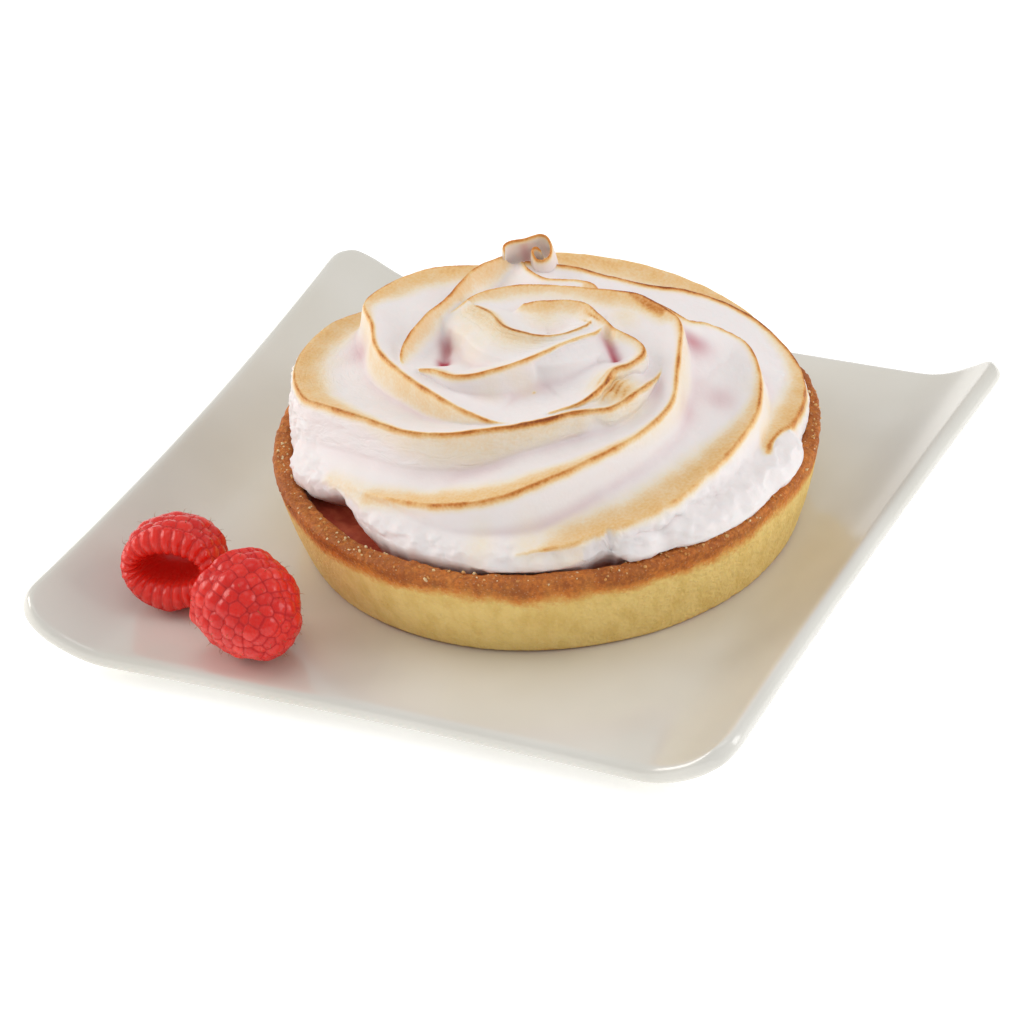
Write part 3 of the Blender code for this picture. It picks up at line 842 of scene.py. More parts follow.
@dataclass
class PipedRose:
    """The piped meringue rose: a computed surface, because its lips wind and merge freely."""

    bearings: int = 480
    rings: int = 200
    samples: int = 420
    travel_passes: int = 10
    radius_passes: int = 6
    crown_top: float = 40.5
    crown_fall: float = 15.0
    crown_tilt: float = 2.8
    crown_tilt_bearing: float = 135.0
    crown_r: float = 46.0
    crown_power: float = 2.6
    core_dip: float = 7.0
    core_edge_dip: float = 9.0
    outer_dip: float = 6.2
    outer_fall: float = 0.6
    outer_reach: float = 2.6
    crest_round: float = 0.35
    valley_round: float = 0.45
    crest_lean: float = 0.9
    lean_reach: float = 1.6
    line_width: float = 0.52
    seat_z: float = 18.0
    skirt_r: float = 46.9
    skirt_height: float = 4.2
    skirt_width: float = 5.0
    edge_slope: float = 5.0
    fill_top: float = 14.4
    inner_wall: float = 46.1
    edge_radii: tuple[tuple[float, float], ...] = (
        (0, 46.5), (30, 46.8), (60, 47.6), (80, 48.4), (96, 48.0), (106, 47.0), (112, 49.3), (121, 49.7),
        (126, 48.7), (136, 49.8), (144, 49.6), (151, 49.1), (156, 47.1), (161, 48.6), (165, 48.2),
        (168, 45.0), (172, 45.2), (176, 46.3), (184, 46.9), (195, 47.1), (201, 45.8), (213, 45.7),
        (225, 44.9), (235, 43.6), (241, 43.2), (247, 44.6), (252, 46.2), (258, 47.6), (266, 45.9),
        (275, 46.6), (284, 48.0), (300, 47.6), (330, 46.8), (360, 46.5))
    notches: tuple[Notch, ...] = (
        Notch(241.0, 7.0, lift=3.4),
        Notch(243.0, 11.0, hollow=6.0),
        Notch(169.5, 3.0, lift=1.0),
        Notch(170.5, 5.0, hollow=1.5),
    )
    juice: tuple[Spot, ...] = (
        Spot(257.5, 17.7, 1.2, 0.75, 262.0, 17.4),
        Spot(262.0, 17.4, 1.2, 0.26, 284.0, 16.7),
        Spot(108.0, 12.1, 1.0, 0.35, 130.0, 18.3),
        Spot(113.0, 13.3, 0.9, 0.45, 125.0, 16.7),
        Spot(91.0, 28.0, 2.8, 0.75),
        Spot(127.8, 28.2, 3.4, 0.4),
        Spot(112.0, 34.0, 3.2, 0.3),
        Spot(290.0, 33.5, 4.0, 0.25),
    )
    pits: tuple[Spot, ...] = (
        Spot(258.0, 17.7, 1.0, 1.4, 282.0, 16.8),
        Spot(111.0, 12.8, 0.8, 1.3, 124.0, 16.4),
    )
    webs: tuple[Spot, ...] = (
        Spot(133.0, 22.6, 3.4, 1.1),
        Spot(141.0, 22.8, 3.8, 0.7),
        Spot(150.0, 23.6, 3.8, 0.8),
        Spot(160.0, 24.4, 3.4, 1.0),
    )
    crumples: tuple[Crumple, ...] = (
        Crumple(146.0, 22.0, 2.9, 214.0, 1.25, 0.42),
        Crumple(88.0, 9.8, 2.2, 155.0, 1.2, 0.30),
    )
    scorches: tuple[Spot, ...] = (
        Spot(182.0, 27.0, 8.0, 0.30),
        Spot(42.0, 33.0, 8.0, 0.26),
        Spot(64.0, 43.0, 9.0, 0.22),
        Spot(66.0, 20.0, 3.6, 0.32),
        Spot(77.0, 22.4, 3.6, 0.28),
        Spot(214.0, 5.6, 5.0, 0.14),
        Spot(320.0, 24.0, 5.0, 0.14),
        Spot(205.0, 40.0, 7.0, 0.05),
        Spot(145.0, 42.5, 12.0, -0.20),
        Spot(168.0, 44.3, 8.0, -0.25),
        Spot(295.0, 44.5, 10.0, -0.22),
        Spot(240.0, 43.0, 6.0, -0.25),
    )
    warmed: tuple[Spot, ...] = (
        Spot(20.0, 6.5, 5.0, 0.36),
        Spot(281.0, 12.4, 4.6, 0.24),
        Spot(255.0, 10.0, 5.0, 0.22),
        Spot(212.0, 17.5, 4.0, 0.16),
        Spot(146.0, 22.9, 5.0, 0.46),
        Spot(214.0, 38.8, 2.0, 0.44, 232.0, 41.8),
        Spot(232.0, 41.8, 2.4, 0.30, 245.0, 43.6),
        Spot(186.0, 43.5, 4.5, 0.26),
        Spot(198.0, 44.0, 4.0, 0.22),
        Spot(226.0, 15.0, 2.6, 0.18, 190.0, 14.2),
        Spot(36.0, 16.0, 1.1, 0.44, 58.0, 18.4),
        Spot(58.0, 18.4, 1.1, 0.74, 84.0, 22.4),
        Spot(75.0, 17.0, 4.0, 0.26),
        Spot(286.0, 40.5, 4.0, 0.22),
        Spot(104.0, 41.5, 5.0, 0.24),
        Spot(176.0, 46.5, 7.0, 0.22),
        Spot(240.0, 43.0, 6.0, 0.12),
        Spot(186.0, 14.8, 0.45, 0.55),
    )
    arms: tuple[Arm, ...] = (
        Arm("front_shelf", (
            (312, 42.4, -2.0, 9.0, 0.5), (302, 44.2, 0.0, 9.0, 0.5), (291, 45.4, 0.6, 9.0, 0.5),
            (280, 44.6, 0.8, 9.0, 0.5), (268, 42.4, 0.8, 8.0, 0.6), (259, 39.1, 0.5, 5.0, 1.0),
            (246, 35.3, 0.2, 2.5, 1.5), (230, 32.9, 0.0, 1.2, 3.0), (218, 31.0, 0.0, 1.0, 4.5),
            (204, 28.4, 0.0, 1.0, 5.5), (188, 26.4, 0.0, 1.0, 5.5), (170, 25.1, 0.0, 1.2, 4.5),
            (154, 26.0, 0.0, 1.5, 3.5), (142, 25.4, 0.0, 1.5, 2.5), (125, 24.8, -1.0, 1.0, 1.5),
            (114, 24.3, -3.0, 0.8, 0.8)), wrinkled=1.0),
        Arm("long_arm", (
            (300, 18.0, -1.5, 1.5, 1.0), (306, 16.2, -0.2, 3.0, 1.0), (323, 15.4, 0.2, 3.5, 1.0),
            (351, 13.9, 0.0, 3.5, 1.0), (21, 12.9, 0.0, 3.0, 1.0), (47, 14.7, 0.2, 4.0, 1.2),
            (67, 19.6, 0.8, 5.0, 1.5), (84, 23.3, 1.1, 4.0, 2.0), (93, 25.0, 1.2, 2.0, 4.0),
            (111, 25.8, 0.8, 1.0, 5.0), (120, 27.0, 0.5, 0.8, 5.0), (134, 30.2, 0.0, 1.0, 3.0),
            (149, 32.1, 0.0, 1.5, 2.0), (162, 33.4, 0.0, 2.5, 1.2), (175, 35.3, 0.0, 4.0, 1.0),
            (184, 37.0, 0.0, 5.5, 0.8), (194, 38.8, -0.8, 7.0, 0.7), (204, 39.8, -1.8, 8.0, 0.6),
            (215, 40.2, -3.4, 8.5, 0.6), (228, 40.7, -5.2, 9.0, 0.6), (240, 42.3, -6.6, 9.0, 0.5),
            (250, 44.9, -7.4, 8.0, 0.4), (260, 46.4, -8.2, 5.0, 0.2))),
        Arm("right_shelf", (
            (53, 20.8, -3.0, 1.0, 1.0), (60, 20.8, -1.2, 1.0, 1.5), (69, 21.4, 0.0, 1.5, 1.5),
            (80, 23.6, 0.5, 1.5, 1.5), (86, 26.8, 0.3, 1.5, 1.2), (85, 30.4, 0.2, 1.2, 1.0),
            (86, 34.2, 0.2, 1.2, 1.2), (88, 36.8, 0.1, 1.5, 1.5), (94, 38.1, 0.0, 1.5, 2.0),
            (103, 39.3, 0.0, 2.0, 2.5), (114, 40.4, 0.0, 3.5, 2.0), (126, 41.0, 0.0, 6.0, 1.5),
            (137, 41.8, 0.0, 8.0, 1.0), (149, 43.1, 0.0, 9.0, 0.8), (158, 43.8, -0.3, 9.0, 0.6),
            (166, 44.2, -0.8, 9.0, 0.5), (177, 44.8, -2.0, 9.0, 0.4), (189, 45.5, -3.4, 7.0, 0.3))),
        Arm("back_wall", (
            (358, 25.6, 0.0, 1.0, 3.0), (10, 25.6, -0.9, 1.0, 4.0), (20, 26.1, -1.6, 1.0, 5.0),
            (30, 28.1, -2.8, 1.0, 6.0), (40, 31.6, -3.7, 1.0, 7.0), (50, 36.1, -2.6, 1.0, 6.0),
            (60, 41.1, -1.5, 1.2, 5.0), (70, 43.9, -0.8, 2.0, 4.0), (84, 46.9, -0.7, 4.0, 2.0),
            (94, 46.9, -0.8, 6.0, 1.5), (104, 45.7, -1.6, 7.0, 1.0), (110, 44.3, -2.6, 5.0, 0.8),
            (115, 43.8, -3.6, 4.0, 0.6), (119, 44.6, -5.4, 2.0, 0.4)), painted=True, line=1.5, scorched=0.10),
        Arm("back_rim", ((2, 34.0, -0.2, 9.0, 9.0), (26, 37.0, -0.9, 9.0, 9.0), (45, 41.2, -1.3, 9.0, 9.0),
                         (62, 44.4, -1.5, 6.0, 6.0)), scorched=-0.45),
        Arm("left_wall", (
            (342, 31.4, -0.6, 5.0, 2.0), (331, 34.8, 0.8, 7.0, 2.0), (323, 36.2, 1.4, 7.0, 2.0),
            (314, 36.8, 1.8, 6.0, 2.0), (304, 36.4, 1.8, 3.0, 3.0), (289, 30.6, 1.4, 1.0, 5.0),
            (273, 28.3, 1.0, 0.8, 7.0), (252, 25.6, 0.7, 0.6, 9.0), (225, 24.8, 0.4, 0.6, 9.0),
            (205, 26.0, 0.0, 0.6, 6.0), (194, 26.0, -1.5, 0.5, 4.0))),
        Arm("inner_left", (
            (350, 26.3, 1.6, 4.0, 1.5), (338, 24.2, 1.4, 4.0, 1.0), (325, 21.0, 1.2, 3.0, 1.0),
            (307, 18.9, 1.0, 3.0, 0.8), (290, 20.2, 0.9, 3.0, 0.6), (275, 22.4, 0.6, 3.0, 0.6),
            (263, 24.1, 0.3, 3.0, 0.6), (254, 25.0, -1.0, 2.0, 0.6)), inner_dip=8.0, inner_reach=2.8),
        Arm("bud_fold", (
            (345, 7.6, -0.6, 3.0, 2.0), (7, 6.7, 0.0, 4.0, 2.0), (59, 9.1, 0.4, 4.0, 1.5),
            (91, 10.8, 0.6, 3.0, 1.5), (110, 14.3, 0.6, 2.5, 1.5), (114, 18.4, 0.5, 2.0, 1.5),
            (119, 20.4, 0.4, 2.0, 2.0), (129, 20.4, 0.3, 2.0, 2.5), (141, 19.4, 0.3, 2.0, 5.0),
            (153, 21.6, 0.2, 1.5, 8.0), (166, 23.6, 0.0, 1.0, 8.0), (178, 24.0, -0.8, 1.0, 6.0)),
            wrinkled=1.0),
        Arm("bud_tip", (
            (309, 12.6, 0.6, 2.0, 9.0), (298, 8.2, 1.0, 2.0, 9.0), (246, 5.2, 1.4, 1.5, 9.0),
            (179, 4.9, 1.0, 1.0, 7.0), (142, 6.1, 0.6, 1.0, 3.0), (102, 8.4, 0.0, 1.0, 2.0),
            (80, 10.9, -1.5, 1.0, 1.0)), wrinkled=1.0, face=6.4, gentle=0.34),
        Arm("bud_front", (
            (251, 22.2, -0.6, 2.0, 0.8), (243, 20.9, 0.2, 2.5, 0.8), (229, 19.6, 0.6, 2.0, 0.8),
            (216, 16.4, 0.6, 2.0, 1.0), (194, 11.6, 0.5, 1.5, 1.5), (157, 8.8, 0.3, 1.5, 1.5),
            (111, 11.0, 0.0, 1.0, 1.0), (95, 12.4, -1.5, 1.0, 0.8))),
        Arm("petal_edge", (
            (355, 26.5, 0.2, 1.0, 1.0), (357, 21.0, 0.0, 1.0, 1.0), (7, 16.4, -0.3, 1.0, 1.0),
            (24, 16.4, -0.2, 1.0, 1.0), (37, 16.6, 0.0, 1.2, 1.0), (43, 16.8, -1.2, 0.8, 0.6))),
    )
    tail_rim: tuple[tuple[float, float], ...] = (
        (-4.80, -0.2), (-4.85, 1.0), (-3.60, 1.75), (-1.2, 2.15), (0.3, 2.65), (1.8, 3.0), (3.0, 2.5),
        (3.7, 0.9), (3.5, -0.9), (2.4, -1.75), (1.2, -1.65), (0.55, -0.75), (0.4, 0.3), (1.1, 0.6),
        (2.0, -0.15))
    tail_thick: float = 0.36
    tail_deep: float = 7.6
    tail_sides: int = 24
    tail_middle: tuple[float, float, float] = (0.2, 25.4, 40.5)
    tail_along: tuple[float, float, float] = (0.995, -0.05, -0.08)
    tail_above: tuple[float, float, float] = (0.10, 0.86, 0.63)
    tail_down: tuple[float, float, float] = (0.05, 0.28, -0.96)
    widest: float = 49.9

    def crown(self, x: np.ndarray, y: np.ndarray) -> np.ndarray:
        """Height of the smooth dome through the crests."""
        bearing = np.degrees(np.arctan2(x, y))
        fall = self.crown_fall + self.crown_tilt * np.cos(np.radians(bearing - self.crown_tilt_bearing))
        return self.crown_top - fall * (np.hypot(x, y) / self.crown_r) ** self.crown_power

    def curve(self, arm: Arm, steps: int = 8) -> np.ndarray:
        """Run a smooth curve through an arm's knots.

        Args:
            arm: The crest.
            steps: Number of points from one knot to the next.

        Returns:
            Rows of plan x, plan y, lift, inner and outer browning, and length so far.
        """
        knots = np.array([(*polar(k[0], k[1]), *k[2:]) for k in arm.knots], float)
        rows = np.vstack([spline(knots, steps), knots[-1]])
        run = np.hypot(*np.diff(rows[:, :2], axis=0).T)
        return np.column_stack([rows, np.concatenate([[0], np.cumsum(run)])])

    @staticmethod
    def nearest(x: np.ndarray, y: np.ndarray, curve: np.ndarray) -> dict[str, np.ndarray]:
        """Find the nearest point of a crest for every plan point.

        Args:
            x: Plan x of the points.
            y: Plan y of the points.
            curve: Rows that curve() returned.

        Returns:
            The signed distance, positive outside, the crest's outward direction, and its own
            lift, brownings and length there.
        """
        runs = np.diff(curve[:, :2], axis=0)
        turned = runs[:, 0] * curve[:-1, 1] - runs[:, 1] * curve[:-1, 0]
        hand = 1.0 if turned.sum() > 0 else -1.0
        best = np.full(x.shape, np.inf)
        found = {key: np.zeros(x.shape) for key in ("side", "nx", "ny", "lift", "inner", "outer", "length")}
        for a, b in zip(curve[:-1], curve[1:]):
            run = b[:2] - a[:2]
            length = np.hypot(*run)
            t = np.clip(((x - a[0]) * run[0] + (y - a[1]) * run[1]) / length ** 2, 0, 1)
            dx, dy = x - a[0] - t * run[0], y - a[1] - t * run[1]
            dist = np.hypot(dx, dy)
            closer = dist < best
            normal = hand * np.array((-run[1], run[0])) / length
            best = np.where(closer, dist, best)
            side = np.sign(dx * normal[0] + dy * normal[1])
            fresh = {"side": side, "nx": normal[0], "ny": normal[1]}
            for column, key in ((2, "lift"), (3, "inner"), (4, "outer"), (5, "length")):
                fresh[key] = a[column] + t * (b[column] - a[column])
            for key, value in fresh.items():
                found[key] = np.where(closer, value, found[key])
        found["signed"] = best * found["side"]
        return found

    def edge(self, bearing: np.ndarray) -> tuple[np.ndarray, np.ndarray, np.ndarray]:
        """Plan radius, lift and hollow of the ragged lower edge at bearings."""
        angle = np.radians(bearing)
        radius = np.interp(bearing, *np.array(self.edge_radii).T)
        lift, hollow = np.zeros_like(radius), np.zeros_like(radius)
        for notch in self.notches:
            off = (bearing - notch.bearing + 180) % 360 - 180
            share = np.exp(-(off / notch.width) ** 2)
            lift = lift + notch.lift * share
            hollow = hollow + notch.hollow * share
        ragged = np.stack([np.cos(angle), np.sin(angle), np.zeros_like(angle)], axis=-1) * self.skirt_r
        torn = grain(ragged.reshape(-1, 3), 2.2, 3.0) + 0.6 * grain(ragged.reshape(-1, 3), 0.9, 8.0)
        return np.minimum(radius + 0.3 * torn.reshape(radius.shape), self.widest), lift, hollow

    def surface(self, x: np.ndarray, y: np.ndarray, edge: np.ndarray,
                clear: np.ndarray) -> dict[str, np.ndarray]:
        """Work out the rose at plan points.

        Args:
            x: Plan x of the points.
            y: Plan y of the points.
            edge: Radius of the lower edge on each point's bearing.
            clear: How far the lower edge is lifted there.

        Returns:
            Height, plan shift of the leaning crests, browning, wrinkles and flow coordinates.
        """
        top = self.crown(x, y)
        radius = np.hypot(x, y)
        into = np.clip(edge - radius, 0, None)
        swell = np.sqrt(1 - np.clip(1 - into / self.skirt_width, 0, 1) ** 2)
        layers = [top - self.core_dip - self.core_edge_dip * (radius / self.crown_r) ** 6,
                  self.seat_z + 0.6 * clear + (self.skirt_height - clear) * swell]
        found = [self.nearest(x, y, self.curve(arm)) for arm in self.arms]
        for arm, near in zip(self.arms, found):
            dist = np.sqrt(near["signed"] ** 2 + self.crest_round ** 2) - self.crest_round
            beyond = np.clip(dist - arm.face, 0, None)
            outer = self.outer_dip * (1 - np.exp(-beyond / self.outer_reach)) + self.outer_fall * beyond
            outer = outer + arm.gentle * np.minimum(dist, arm.face)
            inner = arm.inner_dip * (1 - np.exp(-dist / arm.inner_reach))
            layers.append(top + near["lift"] - np.where(near["signed"] > 0, outer, inner))
        for spot in self.webs:
            sx, sy = polar(spot.bearing, spot.radius)
            layers.append(top - spot.depth - 3 * ((x - sx) ** 2 + (y - sy) ** 2) / spot.reach ** 2)
        peak = np.max(layers, axis=0)
        shares = np.array([np.exp((layer - peak) / self.valley_round) for layer in layers])
        total = shares.sum(axis=0)
        height = peak + self.valley_round * np.log(total)
        limit = self.seat_z + 0.8 + clear + self.edge_slope * into
        uncut = 1 - smooth(height - limit, 0.1, 1.4)
        height = np.minimum(height, limit)
        shares = shares / total
        scorch = np.zeros_like(x)
        for spot in self.scorches:
            scorch += spot.depth * spot.near(x, y)
        result = {key: np.zeros_like(x)
                  for key in ("shift_x", "shift_y", "toast", "wrinkle", "flow_u", "flow_v")}
        lead = shares[2:2 + len(self.arms)].argmax(axis=0)
        for number, (arm, near, share) in enumerate(zip(self.arms, found, shares[2:])):
            dist = np.abs(near["signed"])
            lean = self.crest_lean * np.exp(-(dist / self.lean_reach) ** 2) * share
            result["shift_x"] += lean * near["nx"]
            result["shift_y"] += lean * near["ny"]
            width = np.where(near["signed"] > 0, near["outer"], near["inner"])
            line = np.exp(-(dist / (arm.line * self.line_width)) ** 2)
            band = 1 - smooth(dist / np.maximum(width, 0.2), 0.1, 1.0)
            strength = np.where(near["signed"] > 0, 0.20 + 0.018 * width,
                                np.clip(0.34 + 0.03 * width, 0, 0.50))
            length = near["length"]
            uneven = 0.05 * np.sin(length * 0.45 + number) + 0.05 * np.sin(length * 1.3 + 2 * number)
            burn = 0.74 + uneven + scorch + arm.scorched
            faded = smooth(near["lift"], -8.5, -1.5) * 0.3 + 0.7
            fresh = uncut * np.maximum(line * burn * faded, band * strength)
            result["toast"] = np.maximum(result["toast"], np.where(arm.painted, 1.0, share) * fresh)
            near_outside = np.clip(near["signed"] / 7.0, 0, 1)
            result["wrinkle"] += share * arm.wrinkled * np.where(near["signed"] > 0, 1 - near_outside, 0.3)
            leads = lead == number
            result["flow_u"] = np.where(leads, near["length"] + 97.0 * number, result["flow_u"])
            result["flow_v"] = np.where(leads, near["signed"], result["flow_v"])
        result["wrinkle"] *= smooth(shares[2:2 + len(self.arms)].max(axis=0), 0.55, 0.9)
        for spot in self.warmed:
            result["toast"] = np.maximum(result["toast"], uncut * spot.depth * spot.near(x, y))
        crumpled = np.zeros_like(x)
        for fold in self.crumples:
            sx, sy = polar(fold.bearing, fold.radius)
            near = np.exp(-((x - sx) ** 2 + (y - sy) ** 2) / fold.reach ** 2)
            flat = np.stack([x.ravel(), y.ravel(), np.zeros(x.size)], axis=1)
            wander = 0.4 * grain(flat, 3.2, fold.bearing).reshape(x.shape)
            across = (x - sx) * cos(radians(fold.way)) - (y - sy) * sin(radians(fold.way))
            groove = 1 - np.abs(np.sin(pi * (across / fold.spacing + wander))) ** 0.6
            crumpled += near * fold.deep * groove
            result["toast"] += uncut * 0.45 * near * groove
        for spot in self.pits:
            crumpled += spot.depth * spot.near(x, y)
        result["height"] = height - crumpled
        result["crest"] = np.min([np.abs(near["signed"]) for near in found], axis=0)
        return result

    def even_radii(self, bearings: np.ndarray) -> np.ndarray:
        """Radii of the grid: on each bearing they are evenly spaced along the surface."""
        edge, clear, _ = self.edge(bearings)
        radii = np.linspace(0, 1, self.samples)[None, :] * edge[:, None]
        x, y = polar(bearings[:, None], radii)
        spread = np.ones_like(radii)
        height = self.surface(x, y, spread * edge[:, None], spread * clear[:, None])["height"]
        step = np.hypot(np.diff(radii, axis=1), np.diff(height, axis=1))
        travelled = np.concatenate([np.zeros((len(bearings), 1)), np.cumsum(step, axis=1)], axis=1)
        travelled = evened(travelled, self.travel_passes)
        wanted = [np.interp(np.linspace(0, row[-1], self.rings + 1)[1:], row, radius)
                  for row, radius in zip(travelled, radii)]
        return evened(np.array(wanted), self.radius_passes)

    def blush(self, x: np.ndarray, y: np.ndarray, height: np.ndarray) -> np.ndarray:
        """Painted shade: how deep in a fold each point lies, with the juice spots added."""
        half, cell, blur = 50.0, 0.5, 3.2
        cells = np.arange(-half, half + cell, cell)
        grid_x, grid_y = np.meshgrid(cells, cells, indexing="ij")
        flat = np.ones_like(grid_x)
        ground = self.surface(grid_x, grid_y, flat * self.skirt_r, flat * 0)["height"]
        kernel = np.exp(-(np.arange(-16, 17) * cell / blur) ** 2 / 2)
        kernel /= kernel.sum()
        blurred = ground
        for axis in (0, 1):
            blurred = np.apply_along_axis(np.convolve, axis, blurred, kernel, mode="same")
        column = np.clip((x + half) / cell, 0, len(cells) - 2)
        row = np.clip((y + half) / cell, 0, len(cells) - 2)
        i, j = column.astype(int), row.astype(int)
        s, t = column - i, row - j
        around = (blurred[i, j] * (1 - s) * (1 - t) + blurred[i + 1, j] * s * (1 - t)
                  + blurred[i, j + 1] * (1 - s) * t + blurred[i + 1, j + 1] * s * t)
        inside = smooth(self.skirt_r - np.hypot(x, y), 2.0, 7.0)
        # Painted shade: points below the blurred surface round them take the pink fold colour.
        depth = 0.55 * smooth(around - height, 0.45, 3.3) * inside
        for spot in self.juice:
            depth = depth + spot.depth * spot.near(x, y) * smooth(around - height, -1.5, 0.4)
        return np.clip(depth, 0, 1)

    @staticmethod
    def eased(height: np.ndarray, share: np.ndarray) -> np.ndarray:
        """Round the meeting lines of the valleys on the grid of bearings and rings.

        Args:
            height: Heights on the grid.
            share: How much of the rounding each point takes, none on a crest.

        Returns:
            The rounded heights.
        """
        for _ in range(3):
            inward = np.concatenate([height[:, :1], height[:, :-1]], axis=1)
            outward = np.concatenate([height[:, 1:], height[:, -1:]], axis=1)
            around = (np.roll(height, 1, axis=0) + np.roll(height, -1, axis=0) + inward + outward) / 4
            height = height + share * (around - height)
        return height

    def underside(self, bearings: np.ndarray) -> list[np.ndarray]:
        """Rings of the hidden underside, from the middle out to the lower edge."""
        edge, clear, hollow = self.edge(bearings)
        foot = np.minimum(edge - 1.0, self.inner_wall - 1.4) - hollow
        shoulder = np.minimum(edge - 0.6, self.inner_wall - 0.6)
        lip = np.where(edge > self.inner_wall, self.seat_z, self.seat_z - 0.6) + clear
        rings = []
        for radius, height in ((foot * 0.6, self.fill_top - 0.4), (foot, self.fill_top - 0.2),
                               (shoulder, lip - 0.6), (edge - 0.25, lip)):
            x, y = polar(bearings, radius)
            rings.append(np.stack([x, y, np.broadcast_to(height, x.shape)], axis=1))
        return rings

    def build(self, finish: Finish) -> bpy.types.Object:
        """Make the rose and put it in the place of its solid."""
        bearings = -np.arange(self.bearings) * 360.0 / self.bearings % 360
        radii = self.even_radii(bearings)
        edge, clear, _ = self.edge(bearings)
        x, y = polar(bearings[:, None], radii)
        spread = np.ones_like(radii)
        found = self.surface(x, y, spread * edge[:, None], spread * clear[:, None])
        found["height"] = self.eased(found["height"], smooth(found["crest"], 0.9, 2.6))
        blush = self.blush(x, y, found["height"])
        keep = smooth(edge[:, None] - radii, 0.0, 2.0)
        place = np.stack([x + keep * found["shift_x"], y + keep * found["shift_y"], found["height"]], axis=2)
        under = self.underside(bearings)
        blank = np.zeros((len(under), self.bearings))
        order = range(self.rings - 1, -1, -1)
        rings = under + [place[:, k] for k in order]
        points = np.vstack(rings + [np.mean(under[0], axis=0)[None], np.mean(place[:, 0], axis=0)[None]])
        faces = ring_quads(len(rings), self.bearings) + end_fans(len(rings), self.bearings)
        values = {"toast": found["toast"], "blush": blush, "wrinkle": found["wrinkle"],
                  "flow_u": found["flow_u"], "flow_v": found["flow_v"]}
        for key, grid in values.items():
            rows = np.vstack([blank] + [grid[:, k][None] for k in order])
            values[key] = np.concatenate([rows.ravel(), [0.0, rows[-1].mean()]])
        points = self.turned(points)
        lumps = 0.16 * grain(points, 3.6, 5.0) + 0.05 * grain(points, 1.2, 15.0)
        out = np.hypot(points[:, 0], points[:, 1])
        frayed = smooth(out, 41.0, 45.0) * (1 - smooth(values["toast"], 0.05, 0.3))
        lumps = lumps + frayed * (0.60 * grain(points, 3.0, 25.0) + 0.30 * grain(points, 1.1, 35.0))
        above = smooth(points[:, 2], self.seat_z + 0.2, self.seat_z + 2.4)
        points[:, 2] += lumps * above
        torn = frayed * above * (0.85 * grain(points, 2.4, 45.0) + 0.45 * grain(points, 0.9, 55.0))
        torn = np.minimum(torn, np.maximum(self.widest - out, 0))
        points[:, :2] *= (1 + torn / np.maximum(out, 1.0))[:, None]
        obj = computed_piece("piped_rose", points + SEAT, faces)
        for key in ("toast", "blush", "wrinkle"):
            store(obj, key, values[key])
        flow = (values["flow_u"], values["flow_v"], np.zeros_like(values["flow_u"]))
        store(obj, "flow", np.stack(flow, axis=1))
        obj.data.materials.append(finish.build())
        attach(obj, "root")
        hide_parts("meringue")
        return obj

    @staticmethod
    def turned(points: np.ndarray) -> np.ndarray:
        """Turn points to the rose's bearing on the dish."""
        return points @ np.array(Matrix.Rotation(radians(-ROSE_TURN), 3, "Z")).T

    def curl(self, finish: Finish) -> bpy.types.Object:
        """Make the rolled tail behind the bud, where the piping tip was pulled away."""
        along, above, down, middle = (np.array(v) for v in (
            self.tail_along, self.tail_above, self.tail_down, self.tail_middle))
        rim = spline(np.array(self.tail_rim), 8)
        run = np.gradient(rim, axis=0)
        run /= np.hypot(*run.T)[:, None]
        sides = self.tail_sides
        turns = np.arange(sides) * 2 * pi / sides
        points, toast, blush = [], [], []
        for number, (spot, way) in enumerate(zip(rim, run)):
            end = min(number, len(rim) - 1 - number) / 6
            slim = self.tail_thick * min(1.0, 0.35 + 0.65 * sqrt(min(end, 1.0)))
            across = along * way[1] - above * way[0]
            for turn in turns:
                deep = self.tail_deep * (0.5 - 0.5 * sin(turn)) ** 1.4
                wide = slim * cos(turn) * (1 + 0.25 * deep / self.tail_deep)
                off = across * (wide - 0.10 * deep) + down * deep
                points.append(middle + along * spot[0] + above * spot[1] + off)
                toast.append(0.50 * np.exp(-(deep / 0.45) ** 2) + 0.26 * np.exp(-deep / 2.4))
                # Painted shade: a faint pink on one face of the sheet, deeper in the heart of the roll.
                heart = np.exp(-((spot[0] + 1.4) ** 2) / 0.8) * (deep > 0.8)
                blush.append(0.03 + 0.08 * (cos(turn) < 0) + 0.36 * heart)
        faces = ring_quads(len(rim), sides)
        faces.append(tuple(range(sides - 1, -1, -1)))
        faces.append(tuple(range((len(rim) - 1) * sides, len(rim) * sides)))
        obj = computed_piece("rose_tail", self.turned(np.array(points)) + SEAT, faces)
        face_outwards(obj)
        store(obj, "toast", np.array(toast))
        store(obj, "blush", np.array(blush, float))
        obj.data.materials.append(finish.build())
        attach(obj, "root")
        return obj


# --- raspberries --------------------------------------------------------------
class Lie(Enum):
    """How a raspberry lies on the dish."""

    ON_SHOULDER = "raspberry_closed"
    HOLLOW_SIDEWAYS = "raspberry_open"


